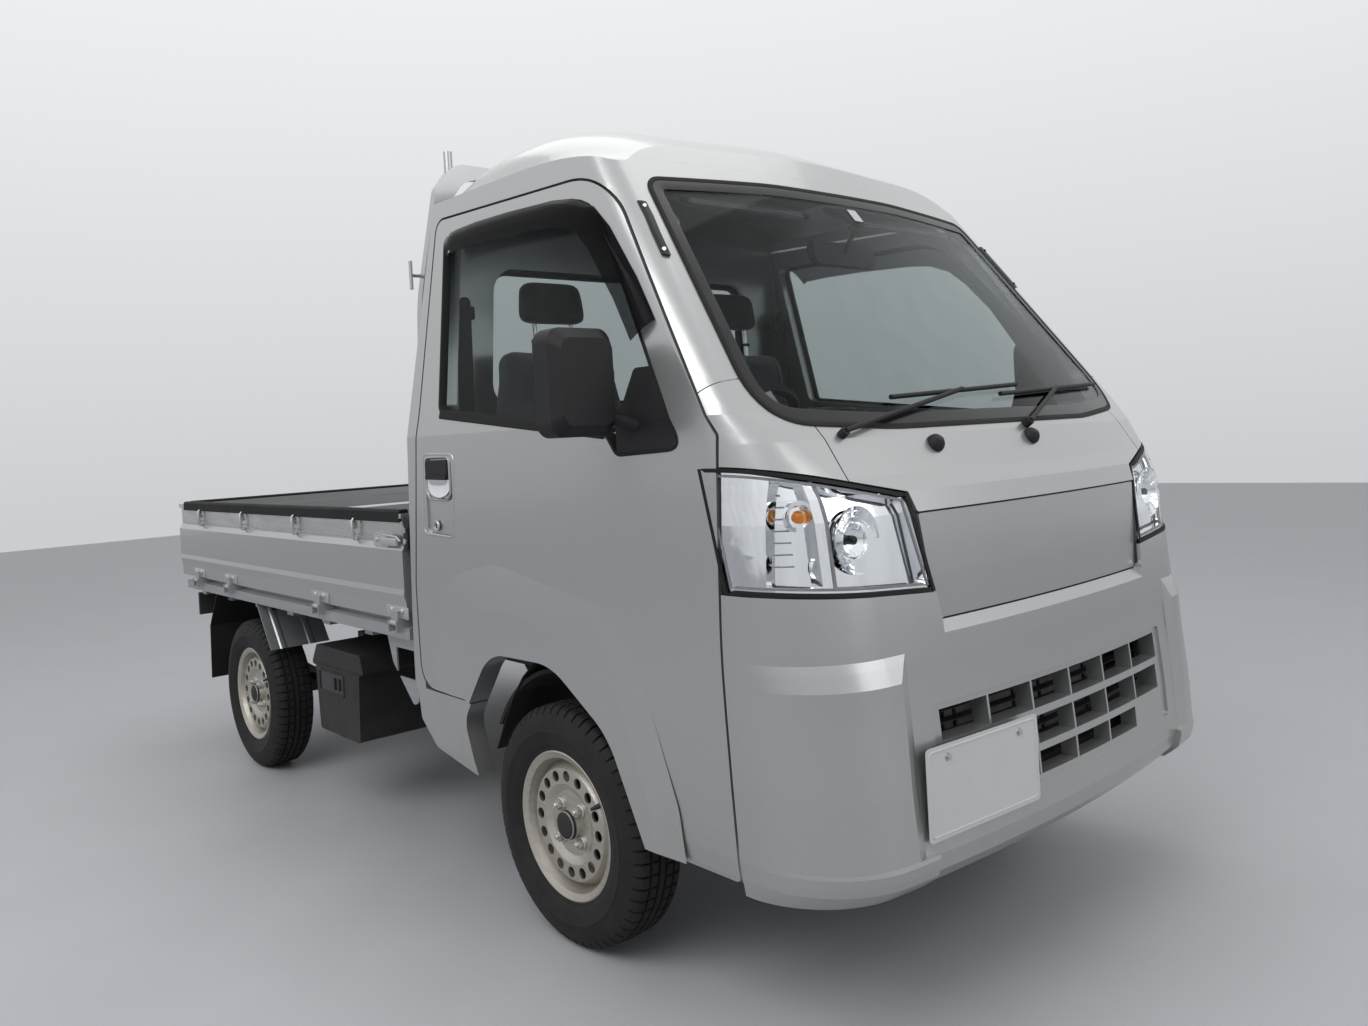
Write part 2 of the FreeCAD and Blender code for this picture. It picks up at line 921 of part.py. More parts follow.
def front_prism(shares):
    """An outline of the front view, run through the nose."""
    return prism(front_points(shares), nose_start, nose_end, "front")


def nose_band(outer, inner, shares):
    """One panel of the nose: a layer of the skin inside an outline of the front view."""
    layer = lower_cab(outer).cut(lower_cab(inner)).common(front_space)
    return layer.common(front_prism(shares))


def between(rows, at):
    """Read a table at any place between its rows."""
    for low, high in zip(rows, rows[1:]):
        if at <= high[0]:
            break
    part = (at - low[0]) / (high[0] - low[0])
    return [a + (b - a) * part for a, b in zip(low, high)]


def nose_form(profile, reach, lift=0):
    """The nose with a surface of its own: a profile of height shares and shares of the reach forward."""
    ends = (profile[0][0], profile[-1][0])
    heights = {row[0] for row in profile} | {row[0] for row in NOSE_SHARES if ends[0] < row[0] < ends[1]}
    wires = []
    for height in sorted(heights):
        level, front, half, corner, crown = between(NOSE_SHARES, height)
        rise = between(profile, height)[1] * reach + lift
        wires.append(plan_wire(
            level * belt_height,
            front * belt_front + rise,
            half * half_width,
            corner * cell("nose_radius"),
            crown * cell("nose_crown"),
            back_at(level * belt_height),
            0,
        ))
    return Part.makeLoft(wires, True, True)


# Cab shell

PILLAR_FOOT_SHARE = 0.300
EAR_SHARE = 0.70
SILL_IN_SHARE = 0.90
POST_FOOT_SHARE = 0.42
# the seam across each windshield pillar, in the side view
GROOVE_SHARES = [(0.8914, 1.0228, 0), (0.9434, 1.0683, 0), (0.9434, 1.0709, 0), (0.8914, 1.0254, 0)]


def hinge_pillars():
    """Posts behind the nose that carry the left door's hinge pins."""
    along, out, heights = hinge_places()
    inner = half_width - wall - cell("pillar_depth")
    outer = half_width - wall - cell("pillar_clearance")
    front = door_seam + cell("pillar_length")
    start = door_seam + panel_gap
    post = block((start, inner, belt_height * PILLAR_FOOT_SHARE), (front, outer, belt_height))
    top = belt_height - cell("pillar_cap")
    cap = block((start, inner, top), (front, half_width - cell("cap_inset"), belt_height + wall))
    room = lower_cab(skin).fuse(greenhouse(skin))
    pieces = [post.common(room), cap.common(room)]
    ear = cell("hinge_ear")
    knuckle = cell("knuckle_radius")
    ear_out = out + knuckle * EAR_SHARE
    for middle in heights:
        gap = cell("hinge_height") / 2 + seat_gap
        for side in (-1, 1):
            edge = middle + side * gap
            low = min(edge, edge + side * ear)
            pieces.append(block((along - knuckle, inner, low), (along + knuckle, ear_out, low + ear)))
        pieces.append(bar((along, out, middle - gap), (along, out, middle + gap), cell("pin_radius")))
    return pieces


def cowl_corner():
    """The left panel between the lamp, the door and the windshield pillar."""
    return largest(nose_band(0, skin, CORNER_SHARES).cut(windshield_outline()))


def cab_shell():
    """Pillars, door rings, rear corners, cowl corners and sills, as one welded shell."""
    body = whole_wall.cut(door_opening()).cut(mirrored(door_opening()))
    body = body.cut(windshield_outline()).cut(back_zone()).cut(roof_zone())
    body = body.cut(across((nose_start, 0), (half_length, belt_height)))
    foot = bed_height - overrun
    low = body.common(across((0, 0), (half_length, foot)))
    high = body.common(across((0, foot), (half_length, sky)))
    sills = prism(side_points(SILL_SHARES), -full_half, full_half)
    sills = low.common(sills).cut(arch_cut(0)).cut(mirrored(arch_cut(0)))
    sill_in = half_width * SILL_IN_SHARE
    sills = sills.cut(block((0, -sill_in, 0), (half_length, sill_in, foot)))
    post_in = half_width * BACK_EDGE_SHARE
    posts = low.common(across((0, belt_height * POST_FOOT_SHARE), (cab_back + wall, foot)))
    posts = posts.cut(block((0, -post_in, 0), (half_length, post_in, foot)))
    sides = hinge_pillars() + [cowl_corner()]
    sides += [mirrored(piece) for piece in sides]
    groove = prism(side_points(GROOVE_SHARES), -full_half, full_half).cut(greenhouse(cell("pillar_groove")))
    return largest(merge([high, sills, posts] + sides).cut(groove))


solid("cab_shell", cab_shell())
roof = whole_wall.common(roof_zone()).cut(windshield_outline()).cut(back_zone())
solid("roof_panel", largest(roof))
solid("back_panel", largest(whole_wall.common(back_zone()).cut(back_window_outline())))
pane_inset = wall / 2
pane = skin_band(pane_inset, pane_inset + cell("glass_thickness"))
solid("back_window", largest(pane.common(back_window_outline())))
solid("windshield", windshield())

# Nose panels

# the raised corner of the bumper: its outline, then how far it stands out at each height
BLOCK_SHARES = [(0.689, 0.3125, 0), (1.100, 0.3125, 0), (1.100, 0.618, 0), (0.689, 0.618, 0)]
BLOCK_RISE_SHARES = [(0.300, 1.0), (0.578, 1.0), (0.618, 0.0), (0.640, 0.0)]
# where the inner slope of the raised corner starts and ends across the half width
BLOCK_SLOPE_SHARES = (0.689, 0.742)
LIP_SHARES = [(0.660, 0.2520, 0), (1.100, 0.2520, 0), (1.100, 0.3125, 0), (0.660, 0.3125, 0)]
LIP_RISE_SHARES = [(0.250, 0.4), (0.266, 0.8), (0.290, 1.0), (0.306, 1.0), (0.320, 0.8)]
PANEL_RISE_SHARES = [(0.600, -1.0), (0.657, -1.0), (0.828, -0.2), (0.863, -0.2)]
LEDGE_RISE_SHARES = [(0.600, 1.2), (0.636, 0.0), (0.657, -1.0), (0.700, -1.0)]
LEDGE_SHARES = [(0.5400, 0.6000, 0), (0.5500, 0.6650, 0)]
LEDGE_CUT_SHARES = [(0.5390, 0.6200, 0), (0.5390, 0.6600, 0)]
# half width, top and bottom of each row of the grille, then its bars
GRILLE_SHARES = [(0.586, 0.519, 0.471), (0.570, 0.458, 0.412), (0.380, 0.399, 0.361)]
GRILLE_BAR_SHARES = (0.0, 0.195, 0.390)
FRAME_SHARES = [(0.615, 0.3500, 0.008), (0.615, 0.5300, 0.008)]
FRAME_RISE_SHARES = [(0.340, -1.0), (0.540, -1.0)]
RIB_SHARES = [(0.604, 0.3510, 0), (0.604, 0.5290, 0)]
GRILLE_ROOM_SHARES = [(0.610, 0.3470, 0), (0.610, 0.5340, 0)]


def grille_holes():
    """The openings between the bars of the grille."""
    holes = []
    half_bar = cell("grille_bar") / 2
    near = half_length - cell("grille_reach")
    for half, top, bottom in GRILLE_SHARES:
        edges = [-half] + [b * side for side in (-1, 1) for b in GRILLE_BAR_SHARES if b < half] + [half]
        edges = sorted(set(edges))
        for left, right in zip(edges, edges[1:]):
            holes.append(block(
                (near, left * half_width + half_bar, bottom * belt_height),
                (half_length + overrun, right * half_width - half_bar, top * belt_height),
            ))
    return Part.makeCompound(holes)


def block_slope():
    """The room of the left raised corner in plan: it slopes down to the skin on its inner side."""
    sections = []
    start, end = [share * half_width for share in BLOCK_SLOPE_SHARES]
    rise = cell("block_rise")
    for height in (BLOCK_SHARES[0][1], BLOCK_SHARES[2][1]):
        level, front, half, corner, crown = between(NOSE_SHARES, height)
        near = front * belt_front - start * start / (crown * cell("nose_crown") * 2)
        far = near + rise * (full_half - start) / (end - start)
        points = [(door_seam, start), (near, start), (far, full_half), (door_seam, full_half)]
        sections.append((points, height * belt_height))
    return tapered(sections, "top")


def bumper_corner():
    """The raised corner and the lip below it, on the left."""
    room = front_space.common(across((door_seam + cell("block_start"), 0), (nose_end, belt_height)))
    room = room.cut(lower_cab(skin / 2))
    raised = nose_form(BLOCK_RISE_SHARES, cell("block_rise")).common(front_prism(BLOCK_SHARES))
    lip = nose_form(LIP_RISE_SHARES, cell("lip_rise")).common(front_prism(LIP_SHARES))
    return [raised.common(block_slope()).common(room), lip.common(room)]


def front_bumper():
    """The painted bumper with its corners, the ledge under the nose panel and the grille cut in it."""
    face = nose_band(0, skin, mirrored_shares(BUMPER_SHARES))
    ledge = nose_band(skin / 2, cell("ledge_depth"), mirrored_shares(LEDGE_SHARES))
    ribs = nose_band(skin / 2, cell("grille_depth"), mirrored_shares(RIB_SHARES))
    corners = bumper_corner()
    corners += [mirrored(piece) for piece in corners]
    face = face.fuse([ledge, ribs] + corners)
    hole = Part.Face(rounded(front_points(mirrored_shares(NOSE_PANEL_SHARES))))
    hole = hole.makeOffset2D(float(seam_gap), 0, False, False, False)
    slope = front_prism(mirrored_shares(LEDGE_CUT_SHARES))
    slope = slope.cut(nose_form(LEDGE_RISE_SHARES, cell("panel_recess")))
    recess = front_prism(mirrored_shares(FRAME_SHARES))
    recess = recess.cut(nose_form(FRAME_RISE_SHARES, cell("grille_recess")))
    face = face.cut([swept(hole, 0, nose_end, "front"), slope, recess, grille_holes()])
    return largest(face.removeSplitter())


def nose_panel():
    """The panel between the lamps: flush at its top, set back at its bottom."""
    recess = cell("panel_recess")
    layer = nose_form(PANEL_RISE_SHARES, recess).cut(nose_form(PANEL_RISE_SHARES, recess, -skin))
    return largest(layer.common(front_space).common(front_prism(mirrored_shares(NOSE_PANEL_SHARES))))


def cowl():
    """The front panel under the windshield."""
    edge = half_width * COWL_EDGE_SHARE
    layer = nose_band(0, skin, mirrored_shares(COWL_SHARES)).cut(windshield_outline())
    return largest(layer.common(block((0, -edge, 0), (nose_end, edge, sky))))


solid("front_bumper", front_bumper())
solid("nose_panel", nose_panel())
solid("front_panel", cowl())
lens_in = cell("lens_recess") + cell("lens")
solid("headlamp_lenses", both_sides(largest(nose_band(cell("lens_recess"), lens_in, LAMP_SHARES))))

# the two cells of the lamp's tray in the front view, split by a wall
CELL_SHARES = [
    [(0.5660, 0.7140, 0.006), (0.8600, 0.7270, 0.006), (0.8600, 0.8850, 0.006), (0.6040, 0.8490, 0.006)],
    [(0.8800, 0.7280, 0.006), (1.1000, 0.7370, 0), (1.1000, 0.9190, 0), (0.8800, 0.8880, 0.006)],
]
# the place of each bowl, as shares of half width, belt height and belt front, then its two radii
BOWL_SHARES = [(0.770, 0.796, 1.0230, 0.020, 0.062), (0.935, 0.832, 0.9980, 0.012, 0.038)]
lamp_back = door_seam + cell("pillar_length") + panel_gap


def lamp_housing():
    """A tray behind the lens, split by a wall, with a bowl for the head beam and one for the signal."""
    room = across((lamp_back, 0), (half_length, belt_height))
    deep = nose_band(lens_in, cell("lamp_depth"), LAMP_SHARES).common(room)
    thin = nose_band(lens_in, skin, LAMP_SHARES)
    body = merge([largest(deep), largest(thin)])
    inner = across((lamp_back + skin, 0), (half_length, belt_height))
    for shares in CELL_SHARES:
        body = body.cut(nose_band(lens_in - seat_gap, cell("tray_depth"), shares).common(inner))
    for out, up, back, small, large in BOWL_SHARES:
        start = Vector(belt_front * back, out * half_width, up * belt_height)
        depth = half_length - start.x
        bowl = Part.makeCone(small * belt_height, large * belt_height, depth, start, Vector(1, 0, 0))
        body = body.cut(bowl)
    return largest(body)


solid("headlamp_housings", both_sides(lamp_housing()))
STRUCTURE_SHARES = [(0.93, 0.290, 0), (0.93, 0.930, 0)]


def front_structure():
    """The inner frame that backs the nose, with holes for the lamps and the grille."""
    frame = nose_band(skin, skin + cell("inner_skin"), mirrored_shares(STRUCTURE_SHARES))
    lamp = front_prism(LAMP_SHARES)
    panel = front_prism(mirrored_shares(NOSE_PANEL_SHARES)).cut(
        nose_form(PANEL_RISE_SHARES, cell("panel_recess"), -skin))
    holes = [lamp, mirrored(lamp), front_prism(mirrored_shares(GRILLE_ROOM_SHARES)),
             front_prism(mirrored_shares(LEDGE_SHARES)), panel]
    frame = frame.cut(holes)
    return largest(frame.common(across((lamp_back, 0), (half_length, belt_height))))


solid("front_structure", front_structure())


# Bed and gates

gate_inner = cell("bed_width") / 2 + gate_gap
gate_low = bed_height + cell("gate_lift")
hinge_level = bed_height - cell("hinge_drop")
side_hinge_out = gate_inner + gate_thickness + cell("hinge_out")
rear_hinge_back = half_length - cell("gate_knuckle")
bed_back = rear_hinge_back - cell("hinge_out") - gate_thickness
gate_back = half_length - cell("hinge_drop")
gate_front = bed_front - gate_gap
# share of the gate's thickness outward, share of its height upward
GATE_SHARES = [
    (0.00, 0.000), (0.00, 0.120), (0.15, 0.150), (0.15, 0.300), (0.00, 0.330), (0.00, 0.420),
    (0.15, 0.450), (0.15, 0.600), (0.00, 0.630), (0.00, 0.720), (0.15, 0.750), (0.15, 0.880),
    (0.00, 0.910), (0.00, 1.000), (0.95, 1.000), (0.95, 0.955), (0.62, 0.940), (0.62, 0.720),
    (1.00, 0.655), (1.00, 0.290), (1.06, 0.235), (0.86, 0.150), (0.86, 0.000),
]
SIDE_HINGE_SHARES = (0.025, 0.290, 0.704, 0.887)
REAR_HINGE_SHARES = (-0.72, 0.0, 0.72)
HOOK_SHARES = (0.150, 0.380, 0.625, 0.865)
REAR_HOOK_SHARES = (-0.6, -0.2, 0.2, 0.6)
HOOK_LEVEL_SHARE = 0.83
HOOK_ROOT_SHARE = 0.55
HOOK_LEG_SHARE = 0.85
LEAF_ROOT_SHARE = 0.80


def gate_section(face, outward):
    """The section of a gate, drawn from its inner face outward."""
    return [(face + outward * out * gate_thickness, gate_low + up * gate_height) for out, up in GATE_SHARES]


def rope_hook(along, face, outward, view):
    """A round staple in the recess of a gate, to tie a rope to."""
    wire = cell("hook_wire")
    half = cell("hook_height") / 2
    middle = gate_low + gate_height * HOOK_LEVEL_SHARE
    root = face + outward * gate_thickness * HOOK_ROOT_SHARE
    tip = root + outward * cell("hook_reach")

    def spot(out, up):
        return (along, out, up) if view == "front" else (out, along, up)

    pieces = [bar(spot(tip, middle - half), spot(tip, middle + half), wire)]
    for way in (-1, 1):
        up = middle + (half - wire * 2) * way
        pieces.append(bar(spot(root, up), spot(tip, up), wire * HOOK_LEG_SHARE))
    return pieces


def along_line(along, line, reach, view):
    """The two ends of a hinge line's stretch, in the gate's own view."""
    if view == "front":
        return (along - reach, line, hinge_level), (along + reach, line, hinge_level)
    return (line, along - reach, hinge_level), (line, along + reach, hinge_level)


def gate_block(a, b, low, high, view):
    """A block between two places along a gate, two places across it and two heights."""
    if view == "front":
        return block((a[0], b[0], low), (a[1], b[1], high))
    return block((b[0], a[0], low), (b[1], a[1], high))


def gate_hinge(along, face, outward, view):
    """The leaf and knuckle of one hinge, on the gate's side, with its bore."""
    half = cell("gate_knuckle_length") / 2
    line = face + outward * (gate_thickness + cell("hinge_out"))
    spread = sorted((face + outward * gate_thickness * LEAF_ROOT_SHARE, line))
    top = gate_low + cell("hinge_leaf")
    leaf = gate_block((along - half, along + half), spread, hinge_level + running_gap, top, view)
    hub = bar(*along_line(along, line, half, view), cell("gate_knuckle"))
    bore = bar(*along_line(along, line, half * 2, view), cell("gate_pin") + running_gap)
    return hub.fuse(leaf), bore


def hinge_bracket(along, edge, line, view):
    """Two ears and a pin on the bed's side of one gate hinge."""
    half = cell("gate_knuckle_length") / 2 + seat_gap
    ear = cell("gate_ear")
    reach = cell("gate_pin") + cell("hinge_drop") / 2
    low, high = sorted((edge, line))
    spread = (low, high + reach) if line > 0 else (low - reach, high)
    pieces = []
    for side in (-1, 1):
        start = along + side * half
        foot = min(start, start + side * ear)
        pieces.append(gate_block(
            (foot, foot + ear), spread, hinge_level - cell("ear_drop"), hinge_level + reach, view))
    return pieces + [bar(*along_line(along, line, half, view), cell("gate_pin"))]


def gate(low, high, face, outward, view, hinges, hooks):
    """A drop side: a pressed panel with its rope hooks and hinge knuckles."""
    points = gate_section(face, outward)
    body = prism(points, low, high, view)
    bores = []
    pieces = [body]
    for along in hooks:
        pieces += rope_hook(along, face, outward, view)
    for along in hinges:
        hub, bore = gate_hinge(along, face, outward, view)
        pieces.append(hub)
        bores.append(bore)
    return largest(merge(pieces).cut(bores))


bed_length = gate_front + gate_back
side_hinges = [gate_front - share * bed_length for share in SIDE_HINGE_SHARES]
rear_hinges = [share * gate_inner for share in REAR_HINGE_SHARES]
side_hooks = [gate_front - share * bed_length for share in HOOK_SHARES]
rear_hooks = [share * gate_inner for share in REAR_HOOK_SHARES]
gate_left = gate(-gate_back, gate_front, gate_inner, 1, "front", side_hinges, side_hooks)
solid("gate_left", gate_left)
solid("gate_right", mirrored(gate_left))
tail_half = gate_inner - gate_gap
solid("tailgate", gate(-tail_half, tail_half, -bed_back, -1, "side", rear_hinges, rear_hooks))

# the hole in the step's plate, of its length and height
STEP_HOLE_SHARES = (0.38, 0.62, 0.92, 0.20)
STEP_SHARES = [(0.10, 0.0, 0.0), (0.26, 0.44, 0.1), (0.85, 1.0, 0.1), (1.0, 0.9, 0.1), (1.0, 0.0, 0.0)]


def bed():
    """Floor, cross sills, side rails and the gates' hinge brackets."""
    half = cell("bed_width") / 2
    floor = cell("bed_floor")
    under = bed_height - floor
    pieces = [block((-bed_back + gate_gap, -half, under), (bed_front, half, bed_height))]
    sill = cell("sill_width")
    count = int(cell("sill_count"))
    reach = bed_front + bed_back - gate_gap - sill * 2
    for index in range(count):
        start = -bed_back + gate_gap + sill / 2 + reach * index / (count - 1)
        pieces.append(block((start, -half + floor, rail_top), (start + sill, half - floor, under)))
    rail_edge = gate_inner + gate_thickness - cell("rail_inset")
    rail_low = rail_top + cell("bed_rail_drop")
    rail_high = hinge_level - cell("ear_drop") / 2
    rim = block((-bed_back + gate_gap, half - floor, rail_low), (bed_front, half, bed_height))
    lip = block((-bed_back + gate_gap, half - floor, rail_low), (bed_front, rail_edge, rail_high))
    side = [rim, lip]
    for along in side_hinges:
        side += hinge_bracket(along, half, side_hinge_out, "front")
    length, height = cell("step_length"), cell("step_height")
    base = bed_front - length - cell("step_inset")
    points = [(base + x * length, rail_low - z * height, r * length) for x, z, r in STEP_SHARES]
    step = prism(points, half, half + cell("step_plate"))
    hole = block(
        (base + length * STEP_HOLE_SHARES[0], half - overrun, rail_low - height * STEP_HOLE_SHARES[1]),
        (base + length * STEP_HOLE_SHARES[2], rail_edge, rail_low - height * STEP_HOLE_SHARES[3]),
    )
    side.append(step.cut(hole))
    pieces += side + [mirrored(piece) for piece in side]
    for along in rear_hinges:
        pieces += hinge_bracket(along, -bed_back + overrun, -rear_hinge_back, "side")
    return largest(merge(pieces))


solid("bed", bed())

# outer edge of the guard frame: share of the gate's inner face outward, share of the roof height upward
GUARD_SHARES = [(0.984, 0.502, 0.0), (0.926, 0.802, 0.3), (0.836, 0.962, 0.02), (0.752, 1.0026, 0.04)]
CROSS_SHARE = 0.960
HORN_SHARE = 0.765
# the side hook's root and end across the gate's inner face, and its height
SIDE_HOOK_SHARES = (0.880, 0.955, 0.836)


def guard_ring(inset):
    """The outline of the arched frame, inset from its outer edge."""
    points = [(y * gate_inner - inset, z * roof_height - inset, r * roof_height) for y, z, r in GUARD_SHARES]
    points[0] = (points[0][0], bed_height + overrun, 0)
    return points + [(-y, z, r) for y, z, r in reversed(points)]


def guard_frame():
    """The headboard and the arched frame that guards the cab's back."""
    tube = cell("guard_tube")
    near, far = bed_front, bed_front + cell("guard_depth")
    middle = (near + far) / 2
    full = prism(guard_ring(0), near, far, "front")
    hoop = full.cut(prism(guard_ring(tube), near - tube, far + tube, "front"))
    board_half = cell("bed_width") / 2 - seat_gap
    board_top = gate_low + gate_height
    board = block((near, -board_half, bed_height), (near + cell("board_depth"), board_half, board_top))
    bar_low = belt_height + overrun
    reach = gate_inner * CROSS_SHARE
    cross = block((near, -reach, bar_low), (far, reach, bar_low + tube)).common(full)
    radius = cell("horn_radius")
    top = roof_height * GUARD_SHARES[-1][1] - tube
    out = gate_inner * HORN_SHARE
    horn = bar((middle, out, top), (middle, out, top + cell("horn_height")), radius)
    root, tip = [share * gate_inner for share in SIDE_HOOK_SHARES[:2]]
    level = SIDE_HOOK_SHARES[2] * roof_height
    stub = bar((middle, root, level), (middle, tip, level), cell("guard_hook"))
    tee = bar((middle, tip, level - tube), (middle, tip, level + tube), cell("guard_hook"))
    side = [horn, stub, tee]
    return largest(merge([hoop, board, cross] + side + [mirrored(piece) for piece in side]))


solid("guard_frame", guard_frame())

# Frame and running gear

# share of half the length forward, then of the rail's height upward from its underside, and the rounding
RAIL_SHARES = [
    (-0.978, 0.0, 0), (-0.978, 1.0, 0), (0.612, 1.0, 0.5), (0.676, -0.72, 0.3), (0.943, -0.72, 0),
    (0.943, -1.67, 0), (0.664, -1.67, 0.5), (0.595, 0.0, 0.5),
]
FRONT_DROP_SHARES = (1.67, 0.72)
CROSS_PLACE_SHARES = (-0.93, -0.42, -0.02, 0.12)
CROSS_HEIGHT_SHARE = 0.70
CROSS_WIDTH_SHARE = 1.20
NOSE_CROSS_SHARE = 0.943
TAIL_CROSS_SHARE = 0.978
TAIL_WIDTH_SHARE = 0.98
rail_out = cell("rail_spacing") / 2 + rail_width / 2
rail_in = rail_out - rail_width
rail_low = rail_top - rail_height
front_low, front_top = [rail_low - rail_height * share for share in FRONT_DROP_SHARES]
cross_width = rail_width * CROSS_WIDTH_SHARE
nose_cross = half_length * NOSE_CROSS_SHARE
tail_cross = half_length * TAIL_CROSS_SHARE


def ladder_frame():
    """Two rails that drop ahead of the front axle, joined by cross members."""
    points = [(x * half_length, rail_low + z * rail_height, r * rail_height) for x, z, r in RAIL_SHARES]
    rail = prism(points, rail_in, rail_out)
    pieces = [rail, mirrored(rail)]
    top = rail_low + rail_height * CROSS_HEIGHT_SHARE
    for share in CROSS_PLACE_SHARES:
        start = share * half_length
        pieces.append(block((start, -rail_in, rail_low), (start + cross_width, rail_in, top)))
    pieces.append(block((nose_cross - cross_width, -rail_in, front_low), (nose_cross, rail_in, front_top)))
    reach = cell("bed_width") / 2 * TAIL_WIDTH_SHARE
    pieces.append(block((-tail_cross - cell("rear_beam"), -reach, rail_low), (-tail_cross, reach, rail_top)))
    leaf_y = cell("leaf_spacing") / 2 + cell("leaf_width") / 2
    eye = cell("leaf_eye")
    for side in (-1, 1):
        x = rear_axle + side * cell("leaf_length") / 2
        pieces.append(block((x - eye, rail_in, rail_low - eye * 2), (x + eye, leaf_y, rail_low + eye)))
        pieces.append(block((x - eye, -leaf_y, rail_low - eye * 2), (x + eye, -rail_in, rail_low + eye)))
    return largest(merge(pieces))


solid("ladder_frame", ladder_frame())
hub_level = tyre_radius
# how far the brake drum and the brake disc lie inside the rim, of the drum's width
DRUM_IN_SHARE = 0.2
DISC_IN_SHARE = 0.4
# section of the differential's case, of its radius outward and along the axle
DIFF_SHARES = [(0.0, -0.92), (0.60, -0.92), (1.0, -0.40), (1.0, 0.40), (0.60, 0.92), (0.0, 0.92)]


def rear_axle_shape():
    """Axle tube with its differential, brake drums, spindles and leaf springs."""
    half_track = cell("rear_track") / 2
    drum_in = half_track - cell("rim_width") / 2 - cell("drum_width") * DRUM_IN_SHARE
    tube = cell("axle_tube")
    radius = cell("diff_radius")
    outline = [Vector(rear_axle + r * radius, y * radius, hub_level) for r, y in DIFF_SHARES]
    case = Part.Face(Part.makePolygon(outline + outline[:1]))
    case = case.revolve(Vector(rear_axle, 0, hub_level), Vector(0, 1, 0), FULL_TURN)
    pieces = [bar((rear_axle, -drum_in, hub_level), (rear_axle, drum_in, hub_level), tube), case]
    end = half_track + cell("spindle_reach")
    pieces.append(bar((rear_axle, -end, hub_level), (rear_axle, end, hub_level), spindle_radius))
    drum_out = drum_in + cell("drum_width")
    side = [bar((rear_axle, drum_in, hub_level), (rear_axle, drum_out, hub_level), cell("drum_radius"))]
    inner = cell("leaf_spacing") / 2 - cell("leaf_width") / 2
    leaf = cell("leaf_depth")
    reach = cell("leaf_length") / 2
    low = Vector(rear_axle, inner, hub_level + tube - leaf / 2)
    rise = rail_low - cell("leaf_eye") * 2 - leaf - seat_gap - low.z
    ends = [Vector(rear_axle + s * reach, inner, low.z + rise) for s in (-1, 1)]
    lift = Vector(0, 0, leaf)
    wire = Part.Wire([
        Part.Arc(ends[0], low, ends[1]).toShape(),
        Part.LineSegment(ends[1], ends[1] + lift).toShape(),
        Part.Arc(ends[1] + lift, low + lift, ends[0] + lift).toShape(),
        Part.LineSegment(ends[0] + lift, ends[0]).toShape(),
    ])
    side.append(Part.Face(wire).extrude(Vector(0, cell("leaf_width"), 0)))
    pieces += side + [mirrored(piece) for piece in side]
    return largest(merge(pieces))


solid("rear_axle", rear_axle_shape())
king_slope = math.tan(math.radians(cell("kingpin_angle")))


def kingpin(level):
    """Where the left steering axis lies at one height."""
    return (front_axle, cell("kingpin_reach") / 2 - (level - hub_level) * king_slope, level)


ball_low = hub_level - cell("ball_drop")
strut_top = hub_level + cell("strut_height")


def front_suspension():
    """Cross member, its legs and the lower arms with their ball pins."""
    width = cell("arm_width")
    arm_low = ball_low - cell("arm_depth")
    high = ball_low + overrun
    pieces = [block((front_axle - width, -rail_out, arm_low), (front_axle + width, rail_out, high))]
    leg = block((front_axle - width, rail_in, arm_low), (front_axle + width, rail_out, rail_low))
    tip = kingpin(ball_low)[1] + width / 2
    arm = block((front_axle - width / 2, rail_in, arm_low), (front_axle + width / 2, tip, ball_low))
    pin = bar(kingpin(arm_low), kingpin(ball_low + cell("ball_length")), cell("ball_pin"))
    side = [leg, arm, pin]
    return largest(merge(pieces + side + [mirrored(piece) for piece in side]))


solid("front_suspension", front_suspension())


def knuckle():
    """The left upright with its strut, wheel spindle and brake disc."""
    foot = ball_low + panel_gap
    tube = bar(kingpin(foot), kingpin(hub_level + cell("strut_tube")), cell("strut_radius"))
    rod_piece = bar(kingpin(hub_level), kingpin(strut_top), cell("strut_rod"))
    start = kingpin(hub_level)
    end = cell("front_track") / 2 + cell("spindle_reach")
    spindle = bar(start, (front_axle, end, hub_level), spindle_radius)
    rim_in = cell("front_track") / 2 - cell("rim_width") / 2
    disc_in = rim_in + cell("drum_width") * DISC_IN_SHARE
    disc_out = disc_in + cell("disc_thickness")
    disc = bar((front_axle, disc_in, hub_level), (front_axle, disc_out, hub_level), cell("disc_radius"))
    bore = bar(kingpin(foot - overrun), kingpin(ball_low + cell("ball_length") + seat_gap),
               cell("ball_pin") + running_gap)
    return largest(merge([tube, rod_piece, spindle, disc]).cut(bore))


knuckle_left = knuckle()
solid("knuckle_left", knuckle_left)
solid("knuckle_right", mirrored(knuckle_left))

# Wheels


def plane_of(body, role):
    return next(item for item in body.Origin.OriginFeatures if item.Role == role)


def outline_sketch(body, role, points, name):
    """Draw a closed outline whose corners are tied to the sheet."""
    sketch = body.newObject("Sketcher::SketchObject", name)
    sketch.AttachmentSupport = (plane_of(body, role), [""])
    sketch.MapMode = "FlatFace"
    spots = [Vector(x, y, 0) for x, y in points]
    for index, spot in enumerate(spots):
        sketch.addGeometry(Part.LineSegment(spot, spots[(index + 1) % len(spots)]))
    for index, point in enumerate(points):
        before = (index - 1) % len(points)
        sketch.addConstraint(Sketcher.Constraint("Coincident", before, 2, index, 1))
        for kind, size in (("DistanceX", point[0]), ("DistanceY", point[1])):
            number = sketch.addConstraint(Sketcher.Constraint(kind, -1, 1, index, 1, float(size)))
            if isinstance(size, Size):
                sketch.setExpression(f"Constraints[{number}]", size.text)
    return sketch


def turned(body, sketch, name):
    """Turn an outline round the sketch's upright axis."""
    feature = body.newObject("PartDesign::Revolution", name)
    feature.Profile = sketch
    feature.ReferenceAxis = (sketch, ["V_Axis"])
    feature.Angle = FULL_TURN
    sketch.Visibility = False
    body.Tip = feature
    return feature


